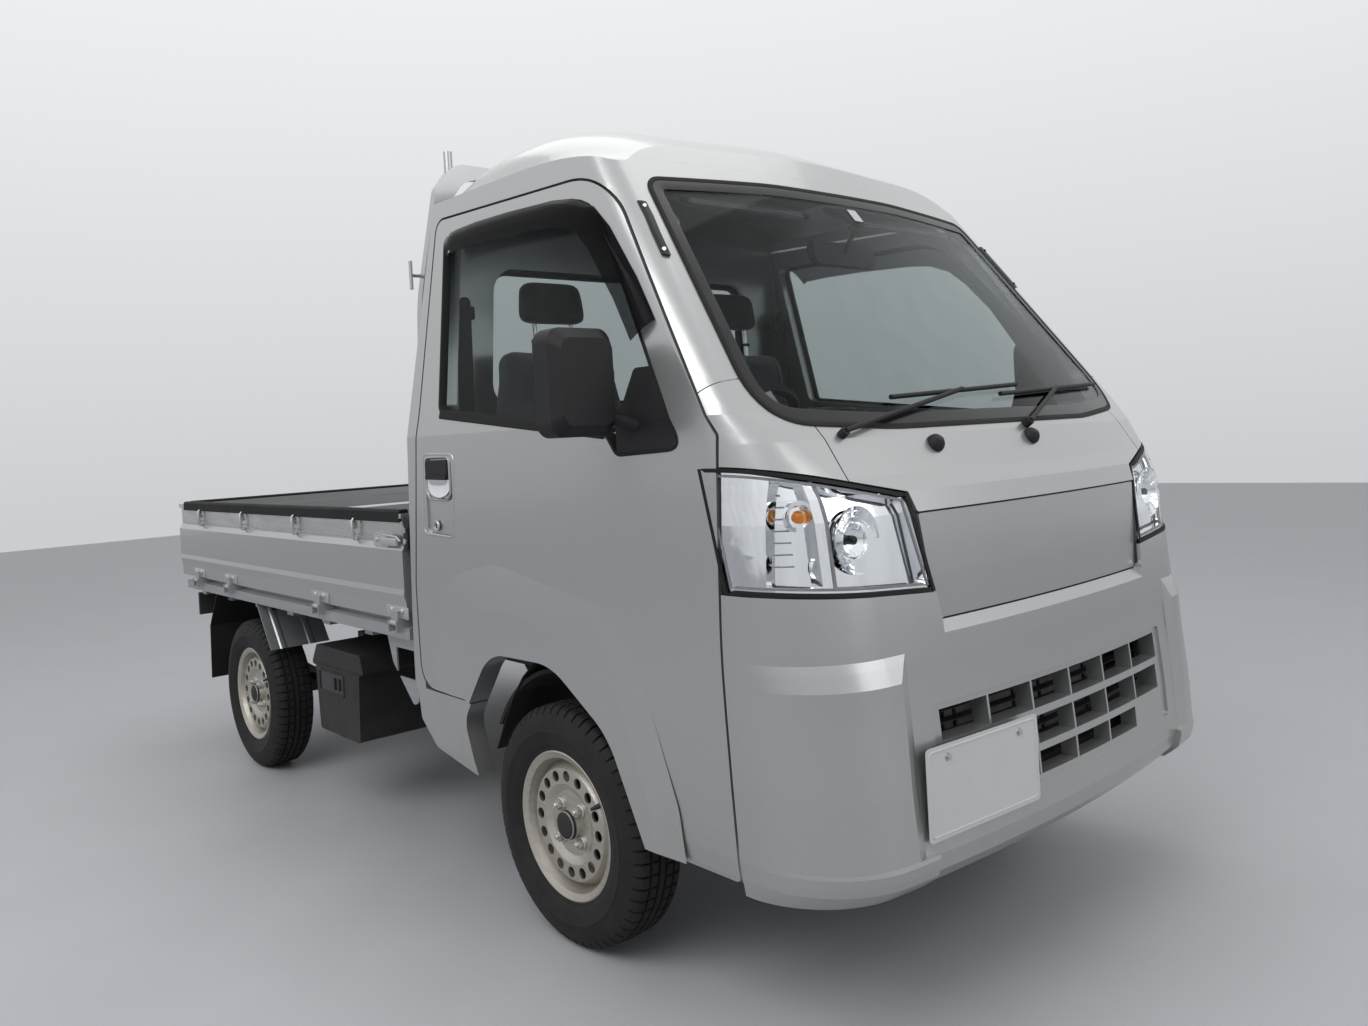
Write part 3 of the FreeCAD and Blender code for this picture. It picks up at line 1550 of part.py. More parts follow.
# share of the flange radius outward, share of half the rim width across
BARREL_SHARES = [
    (1.000, -1.00), (0.916, -0.92), (0.850, -0.20), (0.850, 0.30), (0.916, 0.92), (1.000, 1.00),
    (0.970, 1.04), (0.885, 0.92), (0.818, 0.36), (0.818, -0.25), (0.885, -0.92), (0.970, -1.04),
]
DISC_SHARES = [
    (0.400, 0.53), (0.535, 0.70), (0.725, 0.70), (0.790, 0.26), (0.830, 0.26), (0.830, 0.36),
    (0.740, 0.80), (0.530, 0.80), (0.425, 0.64), (0.210, 0.64), (0.185, 1.00),
]
HOLE_PLACE_SHARE = 0.640
# how far out the hub's bore and its wall start, of half the rim's width
HUB_SHARES = (0.1, 0.5)
# share from the bead to the tread, share of half the tyre width across
TYRE_SHARES = [(0.00, -0.62), (0.60, -1.00), (1.00, -0.68), (1.00, 0.68), (0.60, 1.00), (0.00, 0.62)]


def wheel_place(side, axle, track):
    """Put a wheel at its hub, its outer face away from the vehicle."""
    turn = FreeCAD.Rotation(Vector(0, 0, 1), 0 if side > 0 else 180)
    return FreeCAD.Placement(Vector(axle, side * track / 2, hub_level), turn)


def rim(label, side, axle, track):
    """A pressed steel rim: barrel, vented disc and a closed hub that takes the spindle."""
    body = doc.addObject("PartDesign::Body", label)
    flange = cell("flange_radius")
    half = cell("rim_width") / 2
    barrel = [(r * flange, y * half) for r, y in BARREL_SHARES]
    turned(body, outline_sketch(body, "XY_Plane", barrel, label + "_barrel"), label + "_turned")
    doc.recompute()
    bore = spindle_radius + running_gap
    hub = cell("hub_radius")
    near = cell("spindle_reach") + seat_gap
    disc = [(r * flange, y * half) for r, y in DISC_SHARES]
    foot, shoulder = [half * share for share in HUB_SHARES]
    disc += [(Size(0), half), (Size(0), near), (bore, near), (bore, foot), (hub, foot), (hub, shoulder)]
    turned(body, outline_sketch(body, "XY_Plane", disc, label + "_disc"), label + "_hub")
    doc.recompute()
    sketch = body.newObject("Sketcher::SketchObject", label + "_hole")
    sketch.AttachmentSupport = (plane_of(body, "XZ_Plane"), [""])
    sketch.MapMode = "FlatFace"
    reach = HOLE_PLACE_SHARE * flange
    sketch.addGeometry(Part.Circle(Vector(reach, 0, 0), Vector(0, 0, 1), cell("vent_radius")))
    for kind, size in (("DistanceX", reach), ("Radius", cell("vent_radius"))):
        if kind == "Radius":
            number = sketch.addConstraint(Sketcher.Constraint(kind, 0, float(size)))
        else:
            number = sketch.addConstraint(Sketcher.Constraint(kind, -1, 1, 0, 3, float(size)))
        sketch.setExpression(f"Constraints[{number}]", size.text)
    sketch.addConstraint(Sketcher.Constraint("PointOnObject", 0, 3, -1))
    pocket = body.newObject("PartDesign::Pocket", label + "_vent")
    pocket.Profile = sketch
    pocket.Midplane = True
    pocket.setExpression("Length", (half * 4).text)
    doc.recompute()
    ring = body.newObject("PartDesign::PolarPattern", label + "_vents")
    ring.Originals = [pocket]
    ring.Axis = (plane_of(body, "Y_Axis"), [""])
    ring.Angle = FULL_TURN
    ring.Occurrences = int(cell("vent_count"))
    body.Tip = ring
    body.Placement = wheel_place(side, axle, track)
    return keep(body, label)


def tyre(label, side, axle, track):
    """A tyre seated on its rim, with a bare tread band."""
    body = doc.addObject("PartDesign::Body", label)
    bead = cell("bead_radius") + seat_gap
    rise = tyre_radius - bead
    half = cell("tyre_width") / 2
    points = [(bead + r * rise, y * half) for r, y in TYRE_SHARES]
    turned(body, outline_sketch(body, "XY_Plane", points, label + "_section"), label + "_turned")
    body.Placement = wheel_place(side, axle, track)
    return keep(body, label)


for end, axle, track in (("front", front_axle, cell("front_track")), ("rear", rear_axle, cell("rear_track"))):
    for hand, side in (("left", 1), ("right", -1)):
        rim(f"rim_{end}_{hand}", side, axle, track)
        tyre(f"tyre_{end}_{hand}", side, axle, track)

# Cab floor and what stands on it

TOE_SHARE = 0.84
FOOT_START_SHARE = 0.90
# half the size of the strut's tower, of the wall
TOWER_SHARE = 0.60
# the seat's plinth, of the seat's size
PLINTH_SHARE = 0.86
foot_level = front_top + cell("mount_height")
platform = rail_top + cell("cab_mount")
house_radius = tyre_radius + cell("house_gap")
floor_skin = cell("floor_skin")
foot_start = front_axle + house_radius * FOOT_START_SHARE
toe_front = belt_front - cell("toe_gap")
toe_top = belt_height * TOE_SHARE
floor_start = cab_back + wall + seam_gap / 2
between_pillars = half_width - wall - cell("pillar_depth") - seat_gap
house_in = rail_out + cell("house_clearance")
house_out = half_width - wall - cell("house_edge")


def cab_floor():
    """Seat platform, foot well, toe board and wheel houses, on rubber mounts."""
    riser = front_axle + house_radius
    under = platform - floor_skin * 2
    points = [
        (floor_start, platform), (riser, platform), (riser, foot_level + floor_skin),
        (toe_front, foot_level + floor_skin), (toe_front, toe_top),
        (toe_front + floor_skin, toe_top), (toe_front + floor_skin, foot_level),
        (foot_start, foot_level), (riser - floor_skin, foot_level + floor_skin),
        (riser - floor_skin, under), (floor_start, under),
    ]
    pieces = [prism(points, -between_pillars, between_pillars)]
    pieces.append(block((floor_start, -house_out, under), (riser - floor_skin, house_out, platform)))
    foot_top = foot_level + floor_skin
    pieces.append(block((foot_start, -house_out, foot_level), (door_seam - seam_gap, house_out, foot_top)))
    hub = Vector(front_axle, house_in, hub_level)
    long = house_out - house_in
    outer = Part.makeCylinder(house_radius + floor_skin, long, hub, Vector(0, 1, 0))
    inner = Part.makeCylinder(house_radius, long * 2, hub + Vector(0, floor_skin, 0), Vector(0, 1, 0))
    house = outer.cut(inner).common(block((0, 0, foot_level), (half_length, half_width, platform)))
    web_low = hub_level + house_radius
    web = block((front_axle - wall, house_in, web_low), (front_axle + wall, house_out, platform))
    mount = kingpin(strut_top)
    tower_half = wall * TOWER_SHARE
    tower = block(
        (mount[0] - tower_half, mount[1] - tower_half, strut_top - cell("tower_depth")),
        (mount[0] + tower_half, mount[1] + tower_half, hub_level + house_radius + floor_skin / 2),
    )
    side = [house, web, tower]
    for x in (cab_back + wall * 2, front_axle):
        side.append(block((x, rail_in, rail_top), (x + wall, rail_out, platform - floor_skin)))
    foot_middle = foot_level + floor_skin / 2
    side.append(block((riser + wall, rail_in, front_top), (riser + wall * 2, rail_out, foot_middle)))
    seat_y = cell("seat_spacing") / 2
    half_seat = cell("seat_width") / 2 * PLINTH_SHARE
    seat_back = cab_back + cell("seat_set")
    side.append(block(
        (seat_back, seat_y - half_seat, platform - floor_skin),
        (seat_back + cell("seat_length") * PLINTH_SHARE, seat_y + half_seat, platform + cell("seat_base")),
    ))
    pieces += side + [mirrored(piece) for piece in side]
    whole = merge(pieces)
    bore = bar(kingpin(hub_level), kingpin(strut_top + overrun * 2), cell("strut_rod") + running_gap)
    return largest(whole.cut([bore, mirrored(bore)]))


solid("cab_floor", cab_floor())
seat_level = platform + cell("seat_base")
seat_y = cell("seat_spacing") / 2


CUSHION_SHARES = [(0.0, 0.0, 0.02), (1.0, 0.0, 0.05), (1.0, 1.0, 0.08), (0.0, 1.0, 0.05)]
BACK_SHARES = [(0.02, 0.0, 0.05), (0.30, 0.0, 0.05), (0.20, 1.0, 0.06), (-0.06, 1.0, 0.06)]
# the headrest's outline, of the seat's length forward and the headrest's height upward, and its half width
REST_SHARES = [(-0.02, 0.18, 0.12), (0.15, 0.18, 0.12), (0.13, 1.0, 0.14), (-0.01, 1.0, 0.14)]
REST_HALF_SHARE = 0.50
# the headrest's posts: place forward, root of the backrest's height, place across
POST_SHARES = (0.06, 0.90, 0.25)


def seat_cushion():
    """A plain closed form for one seat cushion."""
    half = cell("seat_width") / 2
    low = cab_back + cell("seat_set") - overrun
    length = cell("seat_length")
    base = seat_level + seat_gap
    height = cell("seat_depth") - seat_gap
    points = [(low + x * length, base + z * height, r * length) for x, z, r in CUSHION_SHARES]
    return prism(points, seat_y - half, seat_y + half)


def seat_back():
    """One leaning backrest with its headrest on two posts."""
    half = cell("seat_width") / 2
    height = cell("backrest_height")
    length = cell("seat_length")
    base = seat_level + cell("seat_depth") + seat_gap
    low = cab_back + cell("seat_set") - overrun
    points = [(low + x * length, base + z * height, r * height) for x, z, r in BACK_SHARES]
    back = prism(points, seat_y - half, seat_y + half)
    top = base + height
    tall = cell("headrest_height")
    points = [(low + x * length, top + z * tall, r * tall) for x, z, r in REST_SHARES]
    rest = prism(points, seat_y - half * REST_HALF_SHARE, seat_y + half * REST_HALF_SHARE)
    place, root, across_share = POST_SHARES
    posts = []
    for side in (-1, 1):
        out = seat_y + side * half * across_share
        foot = (low + place * length, out, base + height * root)
        posts.append(bar(foot, (low + place * length, out, top + tall / 2), cell("post_radius")))
    return largest(merge([back, rest] + posts))


solid("seat_cushions", both_sides(seat_cushion()))
solid("seat_backs", both_sides(seat_back()))

column_lean = math.radians(cell("column_angle"))
column_way = Vector(-math.sin(column_lean), 0, math.cos(column_lean))
wheel_spot = Vector(belt_front * cell("wheel_place_share"), -seat_y, belt_height * cell("wheel_height_share"))


def column_point(along):
    return wheel_spot + column_way * float(along)


DASH_SHARES = [(0.870, 0.700, 0.02), (0.835, 0.830, 0.03), (0.862, 0.955, 0.03), (0.930, 0.965, 0.03),
               (0.967, 0.925, 0.0), (0.967, 0.700, 0.0)]
COLUMN_HOLD_SHARE = 0.875


def steering_column():
    """The steering column from the toe board, with its shaft end."""
    hub = cell("wheel_hub")
    foot = -cell("column_length")
    tube = bar(column_point(foot), column_point(-hub), cell("column_radius"))
    shaft = bar(column_point(-hub * 2), column_point(hub / 2), cell("shaft_radius"))
    hold = column_point(foot * COLUMN_HOLD_SHARE)
    half = cell("column_radius")
    top = belt_height * DASH_SHARES[0][1] - seat_gap
    bracket = block((hold.x - half / 2, hold.y - half, hold.z), (hold.x + half, hold.y + half, top))
    return merge([tube, shaft, bracket])


def steering_ring():
    """The wheel's rim: a six-sided section turned round the column."""
    radius, grip = cell("steering_radius"), cell("grip_radius")
    turns = [math.pi * corner / 3 for corner in range(6)]
    points = [(radius + grip * math.cos(turn), grip * math.sin(turn)) for turn in turns]
    ring = stand(rounded(points), 0, "side")
    ring = Part.Face(ring).revolve(Vector(), Vector(0, 0, 1), FULL_TURN)
    ring.Placement = FreeCAD.Placement(column_point(0), FreeCAD.Rotation(Vector(0, 0, 1), column_way))
    return ring


def steering_wheel():
    """A steering wheel with three spokes on its hub."""
    hub = cell("wheel_hub")
    boss = bar(column_point(-hub + seat_gap), column_point(hub), hub)
    across_way = Vector(0, 1, 0)
    arm = cell("steering_radius")
    pieces = [steering_ring(), boss]
    for way in (across_way, across_way * -1, column_way.cross(across_way)):
        tip = wheel_spot + way * float(arm)
        pieces.append(bar(wheel_spot, tip, cell("spoke_radius")))
    bore = bar(column_point(-hub * 2), column_point(hub / 2 + seat_gap), cell("shaft_radius") + running_gap)
    return largest(merge(pieces).cut(bore))


solid("steering_column", steering_column())
solid("steering_wheel", steering_wheel())


def dashboard():
    """The dashboard across the cab, with a hole for the column."""
    body = prism(side_points(DASH_SHARES), -between_pillars, between_pillars)
    hole = bar(column_point(-cell("column_length") * 2), column_point(0), cell("column_radius") + seat_gap)
    return largest(body.cut(hole))


solid("dashboard", dashboard())

# Under the cab and the bed

engine_back = cab_back + cell("engine_gap")
engine_half = rail_in - wall
engine_rise = cell("engine_height") / 2
engine = box("Engine", (engine_back, -engine_half, rail_low - engine_rise),
             (front_axle - wall * 2, engine_half, rail_low + engine_rise))
keep(engine, "engine_block")
RADIATOR_SHARE = 0.85
radiator_half = rail_in * RADIATOR_SHARE
radiator_back = nose_cross - cross_width
core = box("Radiator", (radiator_back, -radiator_half, front_top),
           (radiator_back + cell("radiator_depth"), radiator_half, front_top + cell("radiator_height")))
keep(core, "radiator")
tank = box("Tank", (-cell("tank_back"), rail_out, cell("tank_low")),
           (-cell("tank_front"), cell("tank_out"), rail_top - cell("tank_drop")))
keep(tank, "fuel_tank")
BOX_SHARES = [(0.0, 0.75, 0.03), (0.12, 1.0, 0.05), (0.95, 1.0, 0.05), (1.0, 0.80, 0.03), (0.92, 0.75, 0.0),
              (0.88, 0.0, 0.05), (0.12, 0.0, 0.05), (0.08, 0.75, 0.0)]


def side_box():
    """The battery box hung on the right rail, with its overhanging lid."""
    length, height = cell("box_length"), cell("box_height")
    back, low = cell("box_back"), cell("box_low")
    points = [(x * length - back, z * height + low, r * height) for x, z, r in BOX_SHARES]
    return prism(points, -cell("box_out"), -rail_out)


solid("side_box", side_box())
MUFFLER_SHARES = (0.72, 0.92)


def exhaust():
    """The pipe from the engine and the silencer behind the axle."""
    level = rail_low - cell("muffler_radius") - seat_gap
    out = rail_in / 2
    turn, end = [-half_length * share for share in MUFFLER_SHARES]
    pipe = bar((engine_back, out, level), (turn, out, level), cell("pipe_radius"))
    return merge([pipe, bar((turn, out, level), (end, out, level), cell("muffler_radius"))])


solid("exhaust", exhaust())
guard_top = rail_top + cell("bed_rail_drop") - seat_gap


def sheet_strip(points, thickness, low, high):
    """A bent sheet: an open line in the side view, given a thickness."""
    back = [(x + thickness, z) for x, z in reversed(points)]
    return prism(points + back, low, high)


# the shields ahead of the rear wheel, behind it, and the flap below: forward and down, in tyre radii
AHEAD_SHARES = [(0.52, 0.0), (0.95, 0.57)]
BEHIND_SHARES = [(-1.05, 0.0), (-1.42, 0.50)]
FLAP_SHARES = (-1.48, 1.02)
GUARD_OUT_SHARE = 0.80
guard_out = gate_inner + gate_thickness * GUARD_OUT_SHARE


def guard_line(shares):
    """Corners of a shield in the side view, from the bed's side rail down."""
    return [(rear_axle + x * tyre_radius, guard_top - drop * tyre_radius) for x, drop in shares]


def rear_fender():
    """The two sheets that shield the left rear wheel, ahead of it and behind it."""
    thickness = cell("guard_sheet")
    bed_side = cell("bed_width") / 2 - cell("bed_floor") + seat_gap
    sills = block((-half_length, -bed_side, rail_top - seat_gap), (half_length, bed_side, bed_height))
    lines = (guard_line(AHEAD_SHARES), guard_line(BEHIND_SHARES))
    return [sheet_strip(line, thickness, cell("guard_in"), guard_out).cut(sills) for line in lines]


fenders = rear_fender()
solid("rear_fenders", Part.makeCompound(fenders + [mirrored(piece) for piece in fenders]))
flap_top = guard_line(BEHIND_SHARES)[1]
flap_foot = (rear_axle + FLAP_SHARES[0] * tyre_radius, FLAP_SHARES[1] * tyre_radius)
flap = sheet_strip([flap_top, flap_foot], cell("guard_sheet"), cell("guard_in"), guard_out)
solid("mud_flaps", both_sides(flap))
LAMP_OUT_SHARES = (0.64, 0.97)
LAMP_ROUND_SHARE = 0.08
lamp_face = tail_cross + cell("rear_beam")


def tail_lamp():
    """One tail lamp on the frame's rear cross member."""
    near, far = [share * cell("bed_width") / 2 for share in LAMP_OUT_SHARES]
    tall = cell("tail_lamp_height")
    corner = tall * LAMP_ROUND_SHARE
    points = [(near, rail_low, corner), (far, rail_low, corner),
              (far, rail_low + tall, corner), (near, rail_low + tall, corner)]
    return prism(points, -lamp_face - cell("tail_lamp_depth"), -lamp_face, "front")


solid("tail_lamps", both_sides(tail_lamp()))


glass_normal = Vector(cell("windshield_rise"), 0, cell("windshield_run")).normalize()


def glass_point(out, level, lift):
    """A spot at one height above the windshield or the cowl below it."""
    run = (level - belt_height) * cell("windshield_run") / cell("windshield_rise")
    bow = out ** 2 / (2 * glass_crown)
    return Vector(belt_front - run - bow, out, level) + glass_normal * float(lift)


# share of the half width: the spindle, the blade's low end and its high end
WIPER_SHARES = [(-0.70, -0.45, 0.18), (0.08, 0.05, 0.80)]
WIPER_LEVEL_SHARES = (0.955, 1.012, 1.030)
BLADE_STEPS = 6
BOSS_SHARE = 1.8


def wiper(pivot, low, high):
    """One wiper: an arm from its spindle to a bent blade on the glass."""
    lift = cell("wiper_lift")
    foot, start, end = [share * belt_height for share in WIPER_LEVEL_SHARES]
    base = glass_point(pivot * half_width, foot, seat_gap)
    root = glass_point(pivot * half_width, foot, lift * 2)
    spots = []
    for step in range(BLADE_STEPS + 1):
        part = step / BLADE_STEPS
        out = half_width * (low + (high - low) * part)
        spots.append(glass_point(out, start + (end - start) * part, lift))
    pieces = [bar(a, b, cell("blade_radius")) for a, b in zip(spots, spots[1:])]
    middle = spots[BLADE_STEPS // 2] + glass_normal * float(lift / 2)
    pieces += [bar(base, root, cell("wiper_arm") * BOSS_SHARE), bar(root, middle, cell("wiper_arm"))]
    return merge(pieces)


cab_rise = lower_cab(-seat_gap).fuse(greenhouse(-seat_gap))
solid("wipers", Part.makeCompound([largest(wiper(*shares).cut(cab_rise)) for shares in WIPER_SHARES]))


def check_and_write():
    """Stop on any failed object, then write each sub-part to its own file."""
    doc.recompute()
    for thing in doc.Objects:
        if "Invalid" in thing.State or "Error" in thing.State:
            raise RuntimeError(f"{thing.Label} failed: {thing.State}")
    os.makedirs("parts", exist_ok=True)
    for thing in nodes:
        shape = thing.Shape
        if shape.isNull() or not shape.isValid():
            raise RuntimeError(f"{thing.Label} has no valid shape")
        shape.exportStep(f"parts/{thing.Label}.step")


check_and_write()
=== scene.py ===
"""Looks of a silver kei truck: finishes, glass, lamps, tyres, seats, trim and small fittings.

Lengths are in metres, the small sections and profiles in millimetres. +X points forward, +Y to the
vehicle's left and +Z up. The CAD nodes give the frame; every piece made here is placed in the same frame
and rides on one of its bodies.
"""

import math

import bmesh
import bpy
from mathutils import Matrix, Vector
from mathutils.bvhtree import BVHTree


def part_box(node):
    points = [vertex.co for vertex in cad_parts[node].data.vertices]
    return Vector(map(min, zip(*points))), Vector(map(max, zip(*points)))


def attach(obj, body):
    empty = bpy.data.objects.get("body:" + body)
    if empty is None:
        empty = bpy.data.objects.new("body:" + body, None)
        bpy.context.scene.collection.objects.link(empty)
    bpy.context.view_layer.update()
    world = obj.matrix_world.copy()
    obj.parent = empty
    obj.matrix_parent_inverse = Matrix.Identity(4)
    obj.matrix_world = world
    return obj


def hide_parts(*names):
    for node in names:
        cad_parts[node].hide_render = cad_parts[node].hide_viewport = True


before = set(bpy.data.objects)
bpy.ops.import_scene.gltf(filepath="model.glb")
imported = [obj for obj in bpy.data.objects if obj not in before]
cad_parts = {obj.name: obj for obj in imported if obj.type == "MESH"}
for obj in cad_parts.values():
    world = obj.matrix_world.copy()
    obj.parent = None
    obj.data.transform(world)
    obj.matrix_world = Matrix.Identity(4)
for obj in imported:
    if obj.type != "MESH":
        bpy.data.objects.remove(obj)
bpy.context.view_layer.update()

MILLIMETRE = 0.001

# Sizes shared with the CAD model

HALF_WIDTH = 0.7375
ROOF_HEIGHT = 1.885
BELT_HEIGHT = 1.142
BELT_FRONT = 1.537
FRONT_AXLE = 0.873
REAR_AXLE = -1.027
TYRE_RADIUS = 0.264
FRONT_TRACK = 1.305
REAR_TRACK = 1.300
GLASS_CROWN = 3.436
GLASS_SLOPE = 380 / 506
TUMBLEHOME = 0.16
WHEELS = (
    ("front_left", FRONT_AXLE, 1, FRONT_TRACK),
    ("front_right", FRONT_AXLE, -1, FRONT_TRACK),
    ("rear_left", REAR_AXLE, 1, REAR_TRACK),
    ("rear_right", REAR_AXLE, -1, REAR_TRACK),
)
SIDES = ((1, "left"), (-1, "right"))
AHEAD, BACK, LEFT, UP = (1, 0, 0), (-1, 0, 0), (0, 1, 0), (0, 0, 1)


# Shader node groups


def new_group(name, inputs, outputs):
    """Start a shader node group from its inputs' names and values and its outputs' names."""
    group = bpy.data.node_groups.new(name, "ShaderNodeTree")
    for label, value in inputs.items():
        socket = group.interface.new_socket(label, in_out="INPUT", socket_type="NodeSocketFloat")
        socket.default_value = value
    for label in outputs:
        group.interface.new_socket(label, in_out="OUTPUT", socket_type="NodeSocketFloat")
    start = group.nodes.new("NodeGroupInput")
    end = group.nodes.new("NodeGroupOutput")
    return group, start, end


def join(tree, source, target):
    """Link one socket to another."""
    tree.links.new(source, target)


def feed(tree, socket, value):
    """Set a socket to a number or a colour, or link another socket to it."""
    if isinstance(value, (int, float)):
        socket.default_value = value
    elif isinstance(value, tuple):
        socket.default_value = (*value, 1.0)
    else:
        join(tree, value, socket)


def add_node(tree, kind, **values):
    """Add a node; names of inputs are given with spaces as underscores."""
    node = tree.nodes.new(kind)
    for key, value in values.items():
        label = key.replace("_", " ")
        if label in node.inputs:
            node.inputs[label].default_value = value
        else:
            setattr(node, key, value)
    return node


def math_node(tree, operation, first, second=None, clamp=False):
    """Add a maths node fed by sockets or numbers."""
    node = tree.nodes.new("ShaderNodeMath")
    node.operation = operation
    node.use_clamp = clamp
    feed(tree, node.inputs[0], first)
    if second is not None:
        feed(tree, node.inputs[1], second)
    return node.outputs[0]


def mapped(tree, value, low, high, to_low=0.0, to_high=1.0):
    """Stretch a value from one range to another, clamped."""
    node = tree.nodes.new("ShaderNodeMapRange")
    join(tree, value, node.inputs["Value"])
    for label, number in (("From Min", low), ("From Max", high), ("To Min", to_low), ("To Max", to_high)):
        feed(tree, node.inputs[label], number)
    return node.outputs["Result"]


def object_place(tree):
    """The place on the piece, in metres."""
    return tree.nodes.new("ShaderNodeTexCoord").outputs["Object"]


def noise_on(tree, place, scale, detail=4.0, rough=0.55):
    """Add a noise over a place, its scale a number or a socket."""
    node = tree.nodes.new("ShaderNodeTexNoise")
    join(tree, place, node.inputs["Vector"])
    node.inputs["Detail"].default_value = detail
    node.inputs["Roughness"].default_value = rough
    feed(tree, node.inputs["Scale"], scale)
    return node.outputs["Fac"]


def stretched(tree, place, scale):
    """Scale the three directions of a place apart."""
    node = tree.nodes.new("ShaderNodeMapping")
    join(tree, place, node.inputs["Vector"])
    node.inputs["Scale"].default_value = scale
    return node.outputs["Vector"]


def make_road_dust():
    """Dust that gathers low down, in soft uneven patches."""
    group, start, end = new_group(
        "road_dust", {"Low": 0.2, "High": 0.7, "Amount": 0.5, "Patch Size": 6.0}, ["Mask"])
    place = object_place(group)
    split = add_node(group, "ShaderNodeSeparateXYZ")
    join(group, place, split.inputs[0])
    height = mapped(group, split.outputs["Z"], start.outputs["Low"], start.outputs["High"], 1.0, 0.0)
    patch = mapped(group, noise_on(group, place, start.outputs["Patch Size"]), 0.35, 0.7, 0.25, 1.0)
    fine = mapped(group, noise_on(group, place, 180.0, 2.0), 0.3, 0.7, 0.6, 1.0)
    mask = math_node(group, "MULTIPLY", height, patch)
    mask = math_node(group, "MULTIPLY", mask, fine)
    mask = math_node(group, "MULTIPLY", mask, start.outputs["Amount"], clamp=True)
    join(group, mask, end.inputs["Mask"])
    return group


def make_wipe_marks():
    """Faint streaks that run down a washed panel."""
    group, start, end = new_group("wipe_marks", {"Scale": 9.0, "Amount": 0.5}, ["Mask"])
    place = stretched(group, object_place(group), (1.0, 1.0, 0.12))
    streak = mapped(group, noise_on(group, place, start.outputs["Scale"], 6.0, 0.6), 0.42, 0.72)
    mask = math_node(group, "MULTIPLY", streak, start.outputs["Amount"], clamp=True)
    join(group, mask, end.inputs["Mask"])
    return group


def make_metal_flake():
    """Tiny flakes under a clear coat: a sparkle mask and a soft tone change."""
    group, start, end = new_group("metal_flake", {"Flake Size": 1400.0, "Contrast": 0.5}, ["Mask", "Height"])
    cells = add_node(group, "ShaderNodeTexVoronoi")
    join(group, object_place(group), cells.inputs["Vector"])
    join(group, start.outputs["Flake Size"], cells.inputs["Scale"])
    split = add_node(group, "ShaderNodeSeparateColor")
    join(group, cells.outputs["Color"], split.inputs[0])
    mask = math_node(group, "MULTIPLY", split.outputs[0], start.outputs["Contrast"])
    join(group, mask, end.inputs["Mask"])
    join(group, split.outputs[1], end.inputs["Height"])
    return group


def make_fine_grain():
    """The leather-like or sandy grain of moulded plastic, rubber and cast metal."""
    group, start, end = new_group("fine_grain", {"Scale": 600.0, "Softness": 0.5}, ["Height", "Tone"])
    place = object_place(group)
    cells = add_node(group, "ShaderNodeTexVoronoi", feature="SMOOTH_F1")
    join(group, place, cells.inputs["Vector"])
    join(group, start.outputs["Scale"], cells.inputs["Scale"])
    join(group, start.outputs["Softness"], cells.inputs["Smoothness"])
    join(group, cells.outputs["Distance"], end.inputs["Height"])
    join(group, mapped(group, noise_on(group, place, 14.0), 0.3, 0.7), end.inputs["Tone"])
    return group


def make_rust_spots():
    """Spots of rust with soft halos."""
    group, start, end = new_group("rust_spots", {"Scale": 40.0, "Amount": 0.5}, ["Mask", "Depth"])
    place = object_place(group)
    wide = noise_on(group, place, start.outputs["Scale"], 8.0, 0.7)
    edge = math_node(group, "SUBTRACT", 0.78, math_node(group, "MULTIPLY", start.outputs["Amount"], 0.3))
    mask = mapped(group, wide, edge, math_node(group, "ADD", edge, 0.06))
    join(group, mask, end.inputs["Mask"])
    join(group, noise_on(group, place, 260.0, 3.0), end.inputs["Depth"])
    return group


def make_woven_cloth():
    """Crossing threads, as a height and a thread tone."""
    group, start, end = new_group("woven_cloth", {"Threads": 900.0}, ["Height", "Tone"])
    place = object_place(group)
    heights = []
    for direction in ("X", "Y"):
        wave = add_node(group, "ShaderNodeTexWave", wave_type="BANDS", bands_direction=direction)
        wave.inputs["Distortion"].default_value = 0.6
        wave.inputs["Detail"].default_value = 1.0
        join(group, place, wave.inputs["Vector"])
        join(group, start.outputs["Threads"], wave.inputs["Scale"])
        heights.append(wave.outputs["Fac"])
    join(group, math_node(group, "MAXIMUM", *heights), end.inputs["Height"])
    join(group, mapped(group, noise_on(group, place, 22.0), 0.3, 0.7), end.inputs["Tone"])
    return group


def make_brush_lines():
    """Fine scratches that run along one direction."""
    group, start, end = new_group("brush_lines", {"Scale": 60.0}, ["Mask"])
    place = stretched(group, object_place(group), (0.08, 1.0, 1.0))
    scratches = noise_on(group, place, start.outputs["Scale"], 5.0)
    join(group, mapped(group, scratches, 0.3, 0.7), end.inputs["Mask"])
    return group


EFFECTS = {
    "road_dust": make_road_dust(),
    "wipe_marks": make_wipe_marks(),
    "metal_flake": make_metal_flake(),
    "fine_grain": make_fine_grain(),
    "rust_spots": make_rust_spots(),
    "woven_cloth": make_woven_cloth(),
    "brush_lines": make_brush_lines(),
}


# Materials


def effect(tree, name, **values):
    """Place one of the shared effects in a material with its own values."""
    node = tree.nodes.new("ShaderNodeGroup")
    node.node_tree = EFFECTS[name]
    for key, value in values.items():
        node.inputs[key.replace("_", " ")].default_value = value
    return node.outputs


def blend(tree, kind, mask, first, second):
    """Mix two values or sockets of a kind by a mask."""
    node = tree.nodes.new("ShaderNodeMix")
    node.data_type = kind
    join(tree, mask, node.inputs["Factor"])
    feed(tree, node.inputs["A"], first)
    feed(tree, node.inputs["B"], second)
    return node.outputs["Result"]


def blend_colours(tree, mask, first, second):
    """Mix two colours by a mask."""
    return blend(tree, "RGBA", mask, first, second)


def blend_values(tree, mask, first, second):
    """Mix two numbers by a mask."""
    return blend(tree, "FLOAT", mask, first, second)


def shaded(colour, share):
    """A colour made darker or brighter by a share."""
    return tuple(part * share for part in colour)


